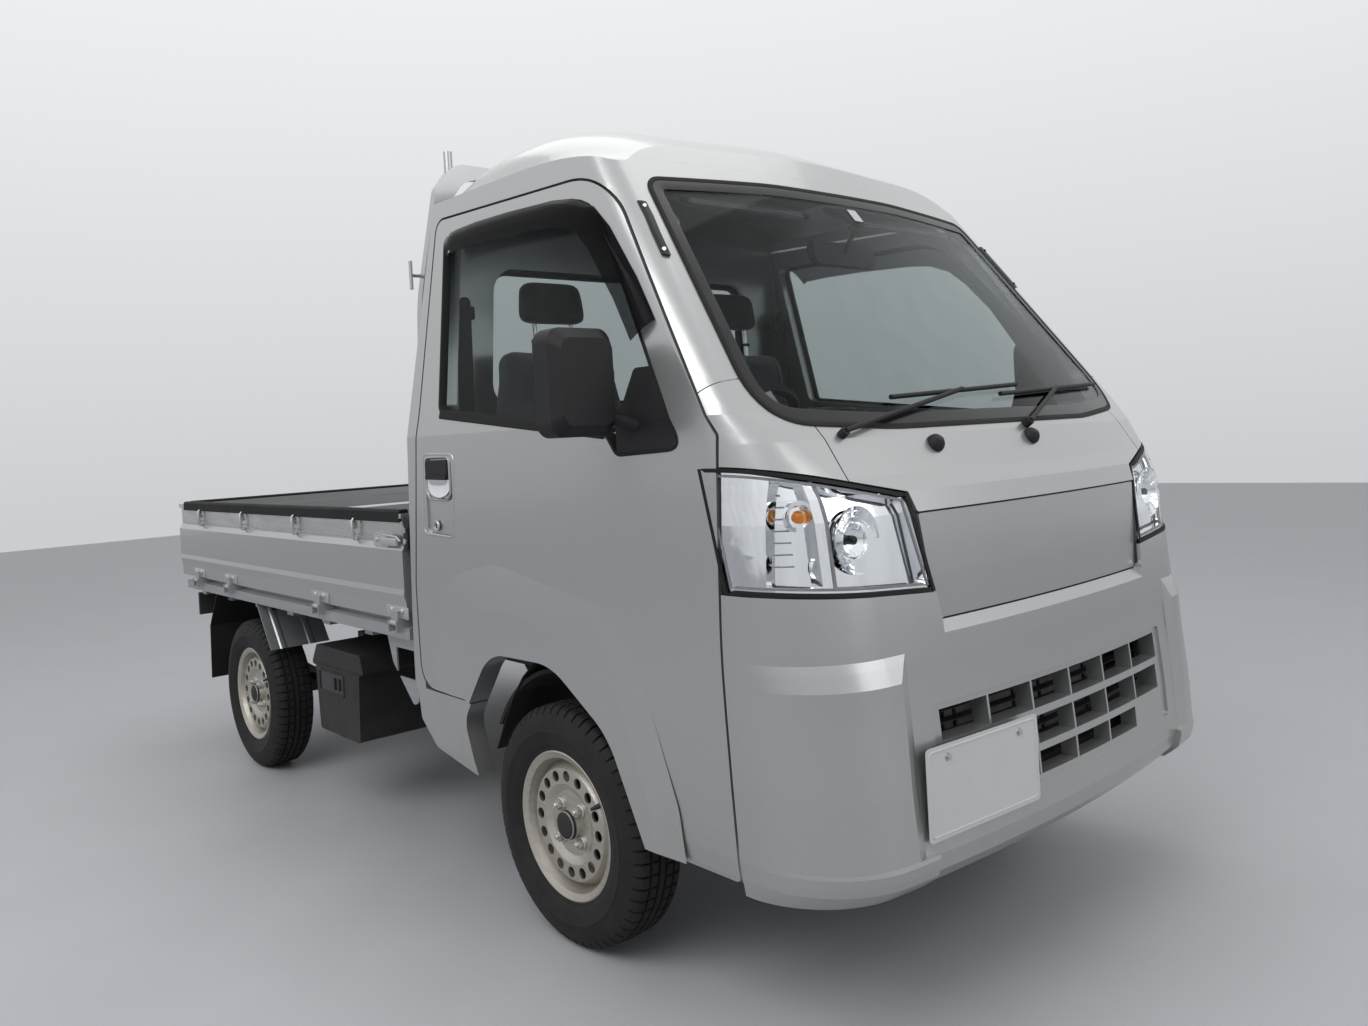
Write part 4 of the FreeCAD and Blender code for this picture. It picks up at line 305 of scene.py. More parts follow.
def bump(tree, height, strength, distance):
    """Turn a height over the surface into a normal."""
    node = tree.nodes.new("ShaderNodeBump")
    node.inputs["Strength"].default_value = strength
    node.inputs["Distance"].default_value = distance
    join(tree, height, node.inputs["Height"])
    return node.outputs["Normal"]


def start_material(name, **sockets):
    """Make a material with one Principled shader and set its uniform sockets."""
    material = bpy.data.materials.new(name)
    material.use_nodes = True
    shader = material.node_tree.nodes["Principled BSDF"]
    for key, value in sockets.items():
        label = key.replace("_", " ")
        shader.inputs[label].default_value = (*value, 1.0) if isinstance(value, tuple) else value
    return material, material.node_tree, shader


def finish(tree, shader, colour, rough=None, normal=None):
    """Feed the shader's colour, roughness and normal."""
    for label, source in (("Base Color", colour), ("Roughness", rough), ("Normal", normal)):
        if source is not None:
            join(tree, source, shader.inputs[label])


def silver_paint(name, colour, dust=0.5, dust_low=0.25, dust_high=0.62, flake=0.45):
    """Metallic body paint under a clear coat, with dust low down and faint wash streaks."""
    material, tree, shader = start_material(name, Metallic=0.72, Coat_Weight=0.6, Coat_Roughness=0.08)
    sparkle = effect(tree, "metal_flake", Flake_Size=1500.0, Contrast=flake)
    low_dust = effect(tree, "road_dust", Low=dust_low, High=dust_high, Amount=dust)["Mask"]
    streaks = effect(tree, "wipe_marks", Scale=7.0, Amount=0.16)["Mask"]
    base = blend_colours(tree, sparkle["Mask"], colour, shaded(colour, 1.22))
    base = blend_colours(tree, low_dust, base, (0.36, 0.33, 0.29))
    rough = blend_values(tree, low_dust, blend_values(tree, streaks, 0.30, 0.42), 0.75)
    finish(tree, shader, base, rough, bump(tree, sparkle["Height"], 0.02, 0.0004))
    return material


def moulded_plastic(name, colour, rough=0.5, grain=700.0, depth=0.25, dust=0.25, high=0.9, spread=1.35):
    """Moulded plastic with a fine grain and a little dust."""
    material, tree, shader = start_material(name, Specular_IOR_Level=0.30)
    skin = effect(tree, "fine_grain", Scale=grain, Softness=0.4)
    dusty = effect(tree, "road_dust", Low=0.2, High=high, Amount=dust)["Mask"]
    pale = tuple(part * spread + 0.002 for part in colour)
    base = blend_colours(tree, dusty, blend_colours(tree, skin["Tone"], colour, pale), (0.30, 0.28, 0.25))
    grain_rough = blend_values(tree, skin["Tone"], rough, min(1.0, rough + 0.12))
    finish(tree, shader, base, grain_rough, bump(tree, skin["Height"], depth, 0.0004))
    return material


def clear_glass(name, tint, haze=0.10):
    """Window glass with a light film of dust."""
    material, tree, shader = start_material(name, Transmission_Weight=1.0, IOR=1.12)
    streaks = effect(tree, "wipe_marks", Scale=14.0, Amount=haze)["Mask"]
    base = blend_colours(tree, streaks, tint, (0.80, 0.80, 0.78))
    finish(tree, shader, base, blend_values(tree, streaks, 0.01, 0.22))
    return material


def worn_metal(name, colour, metallic=0.9, rough=0.4, rust=0.3, dust=0.4, high=0.6):
    """Bare or painted metal with scratches, rust spots and road dust."""
    material, tree, shader = start_material(name, Metallic=metallic)
    lines = effect(tree, "brush_lines", Scale=70.0)["Mask"]
    spots = effect(tree, "rust_spots", Scale=34.0, Amount=rust)
    dusty = effect(tree, "road_dust", Low=0.05, High=high, Amount=dust)["Mask"]
    base = blend_colours(tree, lines, colour, shaded(colour, 0.82))
    rusty = blend_colours(tree, spots["Depth"], (0.20, 0.075, 0.030), (0.36, 0.17, 0.075))
    base = blend_colours(tree, spots["Mask"], base, rusty)
    base = blend_colours(tree, dusty, base, (0.27, 0.23, 0.19))
    coarse = blend_values(tree, lines, rough, min(1.0, rough + 0.15))
    coarse = blend_values(tree, spots["Mask"], coarse, 0.85)
    finish(tree, shader, base, coarse, bump(tree, spots["Depth"], 0.15, 0.0006))
    return material


def wheel_shield(name):
    """Ribbed bright sheet ahead of the rear wheels and black sheet behind them."""
    material, tree, shader = start_material(name, Metallic=0.75)
    split = add_node(tree, "ShaderNodeSeparateXYZ")
    join(tree, object_place(tree), split.inputs[0])
    ahead = mapped(tree, split.outputs["X"], -1.06, -1.04)
    spots = effect(tree, "rust_spots", Scale=30.0, Amount=0.35)
    bright = blend_colours(tree, spots["Mask"], (0.42, 0.44, 0.44), (0.22, 0.12, 0.07))
    base = blend_colours(tree, ahead, (0.020, 0.020, 0.021), bright)
    wave = math_node(tree, "SINE", math_node(tree, "MULTIPLY", split.outputs["Y"], 62.0))
    ridge = mapped(tree, wave, 0.70, 0.95)
    ribs = bump(tree, math_node(tree, "MULTIPLY", ridge, ahead), 0.7, 0.006)
    finish(tree, shader, base, blend_values(tree, ahead, 0.65, 0.36), ribs)
    return material


def tyre_rubber(name):
    """Black rubber with a grey bloom and dust in its grooves."""
    material, tree, shader = start_material(name, Specular_IOR_Level=0.28)
    skin = effect(tree, "fine_grain", Scale=900.0, Softness=0.3)
    dusty = effect(tree, "road_dust", Low=0.0, High=1.4, Amount=0.22, Patch_Size=20.0)["Mask"]
    base = blend_colours(tree, skin["Tone"], (0.008, 0.008, 0.009), (0.015, 0.015, 0.016))
    base = blend_colours(tree, dusty, base, (0.09, 0.08, 0.07))
    rough = blend_values(tree, skin["Tone"], 0.62, 0.80)
    finish(tree, shader, base, rough, bump(tree, skin["Height"], 0.2, 0.0004))
    return material


def woven_fabric(name, colour, threads=1000.0):
    """Seat cloth: a tight weave with a soft sheen, and painted shade in the hollows between the threads."""
    material, tree, shader = start_material(name, Roughness=0.92, Sheen_Weight=0.35, Sheen_Roughness=0.5)
    cloth = effect(tree, "woven_cloth", Threads=threads)
    dark = shaded(colour, 0.72)
    # painted shade: the cloth is darker where the weave is low, between the threads
    base = blend_colours(tree, cloth["Height"], dark, colour)
    base = blend_colours(tree, cloth["Tone"], base, dark)
    finish(tree, shader, base, normal=bump(tree, cloth["Height"], 0.45, 0.0006))
    return material


def mirror_metal(name, colour):
    """Bright plating with a faint film."""
    material, tree, shader = start_material(name, Metallic=1.0)
    streaks = effect(tree, "wipe_marks", Scale=20.0, Amount=0.5)["Mask"]
    base = blend_colours(tree, streaks, colour, shaded(colour, 0.8))
    finish(tree, shader, base, blend_values(tree, streaks, 0.05, 0.17))
    return material


def lamp_plastic(name, colour):
    """Coloured clear plastic of a lamp lens."""
    material, tree, shader = start_material(name, Transmission_Weight=0.7, IOR=1.45)
    tone = effect(tree, "fine_grain", Scale=260.0, Softness=0.8)["Tone"]
    base = blend_colours(tree, tone, colour, shaded(colour, 0.7))
    finish(tree, shader, base, blend_values(tree, tone, 0.06, 0.14))
    return material


SILVER = silver_paint("silver_paint", (0.425, 0.432, 0.430))
BED_SILVER = silver_paint("bed_silver_paint", (0.42, 0.432, 0.432), dust=0.35, dust_low=0.5, dust_high=0.8)

FLOOR_PAINT = worn_metal(
    "bed_floor_paint", (0.42, 0.435, 0.445), metallic=0.5, rough=0.42, rust=0.12, dust=0.5, high=0.9)
FRAME_BLACK = worn_metal(
    "frame_black", (0.020, 0.020, 0.021), metallic=0.1, rough=0.55, rust=0.35, dust=0.45, high=0.8)
CAST_METAL = worn_metal("cast_metal", (0.20, 0.20, 0.20), metallic=0.7, rough=0.5, rust=0.35, dust=0.6)
RIM_STEEL = worn_metal(
    "rim_steel", (0.56, 0.53, 0.475), metallic=0.85, rough=0.34, rust=0.46, dust=0.25, high=0.8)
ZINC = worn_metal("zinc_steel", (0.60, 0.61, 0.60), metallic=0.9, rough=0.35, rust=0.2, dust=0.3, high=0.9)
HOOK_BAND = worn_metal(
    "hook_band_metal", (0.62, 0.63, 0.63), metallic=0.95, rough=0.22, rust=0.25, dust=0.35, high=1.4)
SHIELD = wheel_shield("wheel_shield")
CHROME = mirror_metal("lamp_reflector", (0.92, 0.93, 0.94))

GLASS = clear_glass("window_glass", (0.60, 0.64, 0.64))
WINDSHIELD_GLASS = clear_glass("windshield_glass", (0.55, 0.60, 0.60), haze=0.14)
LENS_GLASS = clear_glass("lamp_lens", (0.97, 0.98, 0.99), haze=0.05)
SMOKED = clear_glass("smoked_acrylic", (0.10, 0.10, 0.11), haze=0.03)
RED_LENS = lamp_plastic("red_lens", (0.62, 0.01, 0.01))
AMBER_LENS = lamp_plastic("amber_lens", (0.90, 0.28, 0.02))

RUBBER = tyre_rubber("tyre_rubber")
SOFT_RUBBER = moulded_plastic("soft_rubber", (0.006, 0.006, 0.006), rough=0.65, grain=500.0, dust=0.05)
BLACK_PLASTIC = moulded_plastic("black_plastic", (0.010, 0.010, 0.011), rough=0.50, dust=0.12)
GLOSS_BLACK = moulded_plastic(
    "gloss_black", (0.010, 0.010, 0.011), rough=0.14, grain=300.0, depth=0.03, dust=0.05)
DASH_GREY = moulded_plastic("dash_grey", (0.055, 0.055, 0.058), rough=0.62, grain=900.0, dust=0.0)
TRIM_GREY = moulded_plastic("trim_grey", (0.085, 0.085, 0.087), rough=0.6, grain=800.0, dust=0.0)
LAMP_GREY = moulded_plastic(
    "lamp_inner_grey", (0.20, 0.20, 0.21), rough=0.30, grain=400.0, depth=0.05, dust=0.0)
FLOOR_VINYL = moulded_plastic(
    "floor_vinyl", (0.012, 0.012, 0.012), rough=0.66, grain=500.0, dust=0.15, high=0.6)
WHITE_PLATE = moulded_plastic(
    "plate_white", (0.60, 0.61, 0.61), rough=0.35, grain=200.0, depth=0.02, dust=0.02, spread=1.04)
BUCKLE_RED = moulded_plastic("buckle_red", (0.42, 0.015, 0.012), rough=0.35, dust=0.0)

HEADLINER = woven_fabric("headliner", (0.13, 0.13, 0.13), threads=700.0)
SEAT_CLOTH = woven_fabric("seat_cloth", (0.070, 0.070, 0.074))
DARK_THREAD = woven_fabric("seam_thread", (0.035, 0.035, 0.038), threads=1400.0)
BELT_WEB = woven_fabric("belt_webbing", (0.022, 0.022, 0.023), threads=1600.0)

FINISHES = {
    SILVER: ["back_panel", "cab_shell", "roof_panel", "door_left", "door_right", "front_bumper",
             "front_panel", "nose_panel"],
    BED_SILVER: ["gate_left", "gate_right", "tailgate", "guard_frame"],
    FLOOR_PAINT: ["bed"],
    WINDSHIELD_GLASS: ["windshield"],
    GLASS: ["door_glass_left", "door_glass_right", "back_window"],
    BLACK_PLASTIC: ["mirror_left", "mirror_right", "side_box", "wipers", "steering_column", "steering_wheel"],
    SHIELD: ["rear_fenders"],
    FRAME_BLACK: ["ladder_frame", "rear_axle", "front_suspension", "knuckle_left", "knuckle_right",
                  "front_structure", "fuel_tank"],
    CAST_METAL: ["engine_block", "radiator", "exhaust"],
    RIM_STEEL: ["rim_" + name for name, *_ in WHEELS],
    RUBBER: ["tyre_" + name for name, *_ in WHEELS],
    FLOOR_VINYL: ["cab_floor"],
    DASH_GREY: ["dashboard"],
    SEAT_CLOTH: ["seat_cushions", "seat_backs"],
    SOFT_RUBBER: ["mud_flaps"],
    RED_LENS: ["tail_lamps"],
    LENS_GLASS: ["headlamp_lenses"],
    CHROME: ["headlamp_housings"],
}


def dress_nodes():
    """Give every CAD node its finish."""
    for material, names in FINISHES.items():
        for name in names:
            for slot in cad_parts[name].material_slots:
                slot.material = material


dress_nodes()


# Ways to build a mesh


def bridge(bm, low, high, tint=0):
    """Join two rings of the same count, or a ring and a single tip."""
    for step in range(max(len(low), len(high))):
        corners = [
            low[step % len(low)], low[(step + 1) % len(low)],
            high[(step + 1) % len(high)], high[step % len(high)],
        ]
        corners = list(dict.fromkeys(corners))
        if len(corners) > 2:
            bm.faces.new(corners).material_index = tint


def cap_ends(bm, rings, tint=0):
    """Close a run of rings with a face at each end."""
    for ring in (rings[0], rings[-1]):
        bm.faces.new(ring).material_index = tint


def in_metres(section):
    """A section or profile that is written in millimetres."""
    return [(first * MILLIMETRE, second * MILLIMETRE) for first, second in section]


def turn_profile(bm, profile, centre, axis, steps=32, tint=0):
    """Turn a profile of (radius, along), in millimetres, round an axis."""
    centre, axis = Vector(centre), Vector(axis).normalized()
    first = axis.orthogonal().normalized()
    second = axis.cross(first)
    rings = []
    for radius, along in in_metres(profile):
        middle = centre + axis * along
        if radius <= 0:
            rings.append([bm.verts.new(middle)])
            continue
        angles = [2 * math.pi * step / steps for step in range(steps)]
        ring = [middle + (first * math.cos(a) + second * math.sin(a)) * radius for a in angles]
        rings.append([bm.verts.new(spot) for spot in ring])
    for low, high in zip(rings, rings[1:]):
        bridge(bm, low, high, tint)


def round_section(radius, sides=10):
    """The section of a round wire or rod, in millimetres."""
    angles = [2 * math.pi * side / sides for side in range(sides)]
    return [(radius * math.cos(a), radius * math.sin(a)) for a in angles]


def run_section(bm, spots, section, top, tint=0):
    """Run a section of (sideways, upward), in millimetres, along spots, its upward side towards top."""
    spots, section = [Vector(spot) for spot in spots], in_metres(section)
    top = Vector(top)
    rings = []
    for index, spot in enumerate(spots):
        way = (spots[min(index + 1, len(spots) - 1)] - spots[max(index - 1, 0)]).normalized()
        side = top.cross(way).normalized()
        up = way.cross(side)
        rings.append([bm.verts.new(spot + side * s + up * u) for s, u in section])
    for low, high in zip(rings, rings[1:]):
        bridge(bm, low, high, tint)
    cap_ends(bm, rings, tint)


def soft_block(bm, low, high, radius, tint=0):
    """A block with rounded edges."""
    low, high = Vector(low), Vector(high)
    corners = bmesh.ops.create_cube(bm, size=1.0)["verts"]
    for corner in corners:
        corner.co = Vector([a + (b - a) * (c + 0.5) for a, b, c in zip(low, high, corner.co)])
    for face in dict.fromkeys(face for corner in corners for face in corner.link_faces):
        face.material_index = tint
    edges = list(dict.fromkeys(edge for corner in corners for edge in corner.link_edges))
    bmesh.ops.bevel(bm, geom=edges, offset=radius, segments=2, profile=0.6, affect="EDGES", material=-1)


def side_block(bm, hand, low, high, radius, tint=0):
    """A rounded block on one side, between two corners given for the left side."""
    near, far = sorted((hand * low[1], hand * high[1]))
    soft_block(bm, (low[0], near, low[2]), (high[0], far, high[2]), radius, tint)


def rounded_line(corners, steps=6):
    """Round the corners (u, v, radius) of a closed outline."""
    line = []
    count = len(corners)
    for index, (u, v, radius) in enumerate(corners):
        here = Vector((u, v))
        before = Vector(corners[index - 1][:2]) - here
        after = Vector(corners[(index + 1) % count][:2]) - here
        if radius <= 0:
            line.append(here)
            continue
        reach = min(radius / math.tan(before.angle(after) / 2), before.length * 0.49, after.length * 0.49)
        start, end = here + before.normalized() * reach, here + after.normalized() * reach
        for step in range(steps + 1):
            part = step / steps
            line.append(start * (1 - part) ** 2 + here * 2 * part * (1 - part) + end * part ** 2)
    return line


def rounded_box(u_low, u_high, v_low, v_high, radius):
    """A closed rectangle with rounded corners."""
    corners = [(u_low, v_low), (u_high, v_low), (u_high, v_high), (u_low, v_high)]
    return rounded_line([(u, v, radius) for u, v in corners])


def finer(line, gap=0.05, closed=True):
    """Add points so that no stretch of a line is longer than the gap."""
    points = []
    pairs = list(zip(line, line[1:] + line[:1])) if closed else list(zip(line, line[1:]))
    for start, end in pairs:
        count = max(1, math.ceil((end - start).length / gap))
        points += [start.lerp(end, step / count) for step in range(count)]
    return points if closed else points + [line[-1]]


def trim_band(bm, line, surface, section, closed=True, tint=0):
    """Run a section of (outward, lift), in millimetres, along an outline drawn on a surface."""
    count = len(line)
    section = in_metres(section)
    area = sum(a.x * b.y - b.x * a.y for a, b in zip(line, line[1:] + line[:1]))
    turn = 1 if area > 0 else -1
    rings = []
    for index, point in enumerate(line):
        ahead = line[(index + 1) % count] if closed or index + 1 < count else point
        behind = line[index - 1] if closed or index else point
        way = (ahead - behind).normalized()
        outward = Vector((way.y, -way.x)) * turn
        rings.append([bm.verts.new(surface(point + outward * out, lift)) for out, lift in section])
    for low, high in zip(rings, rings[1:]):
        bridge(bm, low, high, tint)
    if closed:
        bridge(bm, rings[-1], rings[0], tint)
    else:
        cap_ends(bm, rings, tint)


def sheet_patch(bm, spot, columns, rows, tint=0):
    """A grid of faces over spots given by two counters."""
    grid = [[bm.verts.new(spot(column, row)) for column in range(columns + 1)] for row in range(rows + 1)]
    for near, far in zip(grid, grid[1:]):
        for column in range(columns):
            corners = (near[column], near[column + 1], far[column + 1], far[column])
            bm.faces.new(corners).material_index = tint


def cut_plate(bm, line, place, near, far, tint=0):
    """A flat plate with an outline, between two depths."""
    low = [bm.verts.new(place(point, near)) for point in line]
    high = [bm.verts.new(place(point, far)) for point in line]
    bridge(bm, low, high, tint)
    cap_ends(bm, (low, high), tint)


def loose_object(name, bm, materials):
    """Turn the built mesh into an object that isn't part of the model yet."""
    bmesh.ops.recalc_face_normals(bm, faces=bm.faces)
    mesh = bpy.data.meshes.new(name)
    bm.to_mesh(mesh)
    bm.free()
    for material in materials:
        mesh.materials.append(material)
    piece = bpy.data.objects.new(name, mesh)
    bpy.context.scene.collection.objects.link(piece)
    return piece


def make_piece(name, bm, body, materials, sharp=35.0):
    """Turn the built mesh into a piece that rides on a body."""
    piece = loose_object(name, bm, materials)
    piece.data.shade_smooth()
    piece.data.set_sharp_from_angle(angle=math.radians(sharp))
    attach(piece, body)
    return piece


# Surfaces of the cab, as spots from two numbers and a lift off the skin

# height share of the belt, forward share of the belt front, half-width share, corner share, crown share
NOSE_SHARES = [
    (0.250, 1.0800, 0.980, 0.94, 1.00), (0.278, 1.1000, 0.988, 0.97, 1.00), (0.306, 1.1044, 0.992, 0.99, 1.00),
    (0.420, 1.1000, 0.996, 1.00, 1.00), (0.530, 1.0925, 0.998, 1.00, 1.00), (0.604, 1.0900, 0.998, 1.00, 1.00),
    (0.728, 1.0820, 0.998, 1.00, 1.00), (0.828, 1.0742, 0.998, 1.00, 1.00), (0.863, 1.0665, 0.998, 0.98, 0.98),
    (0.890, 1.0530, 0.998, 0.86, 0.94), (0.952, 1.0270, 0.998, 0.60, 0.82), (1.000, 1.000, 0.998, 0.284, 0.716),
]
NOSE_RADIUS = 0.197
NOSE_CROWN = 4.800
SIDE_HALF = HALF_WIDTH * NOSE_SHARES[-1][2]


def nose_spot(point, lift=0.0):
    """A spot on the nose from its place across and its height."""
    out, level = point
    half, front, corner, crown = skin_plan(level)
    centre, hub = skin_centres(half, front, corner, crown)
    wide = abs(out)
    if wide <= hub.y * crown / (crown - corner):
        x = centre.x + math.sqrt(crown ** 2 - wide ** 2)
        away = Vector((x, wide, 0)) - centre
    else:
        reach = min(wide - hub.y, corner * 0.9999)
        x = hub.x + math.sqrt(corner ** 2 - reach ** 2)
        away = Vector((x, wide, 0)) - hub
    away.normalize()
    hand = 1 if out > 0 else -1
    return Vector((x + away.x * lift, (wide + away.y * lift) * hand, level))


def skin_plan(level):
    """Half width, front, corner radius and crown radius of the cab at one height."""
    if level >= BELT_HEIGHT:
        rise = level - BELT_HEIGHT
        top = NOSE_SHARES[-1]
        return (SIDE_HALF - rise * TUMBLEHOME, BELT_FRONT - rise * GLASS_SLOPE,
                top[3] * NOSE_RADIUS, top[4] * NOSE_CROWN + rise)
    share = max(level / BELT_HEIGHT, NOSE_SHARES[0][0])
    low, high = next(pair for pair in zip(NOSE_SHARES, NOSE_SHARES[1:]) if share <= pair[1][0])
    part = (share - low[0]) / (high[0] - low[0])
    front, half, corner, crown = [a + (b - a) * part for a, b in zip(low[1:], high[1:])]
    return half * HALF_WIDTH, front * BELT_FRONT, corner * NOSE_RADIUS, crown * NOSE_CROWN


def skin_centres(half, front, corner, crown):
    """The centres of the crown's arc and of the corner's arc in the cab's plan."""
    swing = math.sqrt((crown - corner) ** 2 - (half - corner) ** 2)
    return Vector((front - crown, 0, 0)), Vector((front - crown + swing, half - corner, 0))


def skin_spot(hand):
    """Spots on one half of the cab's skin, from the distance run along it from the middle and their height."""
    def spot(point, lift=0.0):
        run, level = point
        half, front, corner, crown = skin_plan(level)
        centre, hub = skin_centres(half, front, corner, crown)
        bend = math.asin(hub.y / (crown - corner))
        turned = bend + (run - crown * bend) / corner
        if run < crown * bend:
            away = Vector((math.cos(run / crown), math.sin(run / crown), 0))
            place = centre + away * (crown + lift)
        elif turned < math.pi / 2:
            away = Vector((math.cos(turned), math.sin(turned), 0))
            place = hub + away * (corner + lift)
        else:
            rest = (turned - math.pi / 2) * corner
            place = Vector((hub.x - rest, half + lift, 0))
        return Vector((place.x, place.y * hand, level))
    return spot


def glass_spot(point, lift=0.0):
    """A spot on the windshield or the cowl just below it, from its place across and its height."""
    out, level = point
    crown = GLASS_CROWN + level - BELT_HEIGHT
    x = BELT_FRONT - (level - BELT_HEIGHT) * GLASS_SLOPE - out * out / (2 * crown)
    return Vector((x, out, level)) + Vector((1, out / crown, GLASS_SLOPE)).normalized() * lift


def side_spot(hand):
    """Spots on one side of the cab, from their place forward and their height."""
    def spot(point, lift=0.0):
        along, level = point
        rise = max(0.0, level - BELT_HEIGHT)
        return Vector((along, hand * (SIDE_HALF - rise * TUMBLEHOME + lift), level))
    return spot


def flat_face(origin, across, upward, outward):
    """Spots on a flat face, from two numbers and a lift off it."""
    origin, across, upward, outward = (Vector(part) for part in (origin, across, upward, outward))

    def spot(point, lift=0.0):
        return origin + across * point[0] + upward * point[1] + outward * lift
    return spot


def back_spot(point, lift=0.0):
    """A spot on the cab's back wall, from its place across and its height."""
    out, level = point
    lean = 0.070 * max(0.0, level - 0.655) / (ROOF_HEIGHT - 0.655)
    return Vector((0.272 + lean - lift, out, level))


# Tyres and wheels

# half of the tyre's section from the bead up: radius, place across, how deep its cross grooves are
TYRE_HALF = [
    (0.1530, 0.0440, 0), (0.1580, 0.0490, 0), (0.1640, 0.0570, 0), (0.1660, 0.0600, 0), (0.1700, 0.0605, 0),
    (0.1730, 0.0630, 0), (0.1900, 0.0690, 0), (0.2050, 0.0712, 0), (0.2065, 0.0722, 0), (0.2105, 0.0722, 0),
    (0.2120, 0.0710, 0), (0.2240, 0.0700, 0), (0.2360, 0.0665, 0), (0.2440, 0.0625, 0), (0.2465, 0.0622, 0.004),
    (0.2530, 0.0580, 0.006), (0.2590, 0.0520, 0.007), (0.2618, 0.0470, 0.007), (0.2628, 0.0350, 0.007),
    (0.2560, 0.0337, 0), (0.2560, 0.0290, 0), (0.2633, 0.0277, 0.004), (0.2638, 0.0130, 0.004),
    (0.2565, 0.0117, 0), (0.2565, 0.0070, 0), (0.2640, 0.0057, 0.0),
]
TYRE_SECTION = TYRE_HALF + [(radius, -across, cut) for radius, across, cut in reversed(TYRE_HALF)]
TREAD_BLOCKS = 58
# where the edges of each tread block lie along it, and whether a cross groove is cut there
BLOCK_EDGES = [(0.0, 0), (0.42, 0), (0.80, 0), (0.84, 1), (0.96, 1)]


def make_tyre(name, axle, side, track):
    """A road tyre with ribs, grooves and shoulder blocks."""
    bm = bmesh.new()
    centre = Vector((axle, side * track / 2, TYRE_RADIUS))
    rings = []
    for radius, across, cut in TYRE_SECTION:
        ring = []
        shift = 0.5 if across < 0 else 0.0
        for block in range(TREAD_BLOCKS):
            for edge, low in BLOCK_EDGES:
                angle = 2 * math.pi * (block + edge + shift) / TREAD_BLOCKS
                reach = radius - cut * low
                ring.append(bm.verts.new(centre + Vector((
                    math.cos(angle) * reach, across, math.sin(angle) * reach))))
        rings.append(ring)
    half = len(rings) // 2
    for index, (low, high) in enumerate(zip(rings, rings[1:])):
        if index == half - 1:
            offset = len(BLOCK_EDGES) // 2
            high = high[-offset:] + high[:-offset]
        bridge(bm, low, high)
    tyre = make_piece("tread_tyre_" + name, bm, "wheel_" + name, [RUBBER], sharp=28)
    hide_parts("tyre_" + name)


def make_wheel_fittings(name, axle, side, track):
    """Wheel nuts, the black centre cap and the valve."""
    bm = bmesh.new()
    face = Vector((axle, side * (track / 2 + 0.0357), TYRE_RADIUS))
    out = (0, side, 0)
    cap = [(0, 24.5), (17, 24), (26, 22.2), (30.5, 19.5), (32.5, 15), (32.5, 0)]
    turn_profile(bm, cap, face, out, 40, 0)
    for nut in range(4):
        angle = math.pi * (0.25 + nut / 2)
        spot = face + Vector((math.cos(angle), 0, math.sin(angle))) * 0.050
        turn_profile(bm, [(15, 0), (14.8, 3.5), (11.2, 5.5)], spot, out, 24, 1)
        turn_profile(bm, [(11.2, 4), (11.2, 14), (10, 16.5), (0, 16.8)], spot, out, 6, 1)
        turn_profile(bm, [(5.8, 14), (5.8, 20.5), (4.5, 22), (0, 22)], spot, out, 16, 1)
    stem = face + Vector((0.110, side * 0.006, 0.066))
    turn_profile(bm, [(5.6, -4), (4.8, 10), (3.6, 13), (3.6, 19), (0, 20)], stem, (-0.80, side, -0.48), 14, 0)
    make_piece("wheel_fittings_" + name, bm, "wheel_" + name, [BLACK_PLASTIC, ZINC])


for wheel_name, wheel_axle, wheel_side, wheel_track in WHEELS:
    make_tyre(wheel_name, wheel_axle, wheel_side, wheel_track)
    make_wheel_fittings(wheel_name, wheel_axle, wheel_side, wheel_track)


# Lamps, grille and plates

def lamp_level(out, upper):
    """Height of the lamp's upper or lower edge at a place across."""
    if upper:
        return 0.9798 + (out - 0.4381) * 0.2236
    return 0.8034 + (out - 0.4056) * 0.0681


def lamp_edge(hand, inset):
    """The headlamp's outline along the skin, from the inner corner round to the door's seam."""
    spot = skin_spot(hand)
    end = 0.845 - inset

    def level_at(run, upper):
        level = 0.9
        for _ in range(4):
            level = lamp_level(abs(spot((run, level)).y), upper)
        return level - inset if upper else level + inset

    low = [Vector((run, level_at(run, False))) for run in spaced(0.409 + inset, end, 26)]
    high = [Vector((run, level_at(run, True))) for run in spaced(end, 0.441 + inset, 26)]
    return low + high


def spaced(low, high, count):
    """Evenly spaced numbers, both ends among them."""
    return [low + (high - low) * step / (count - 1) for step in range(count)]


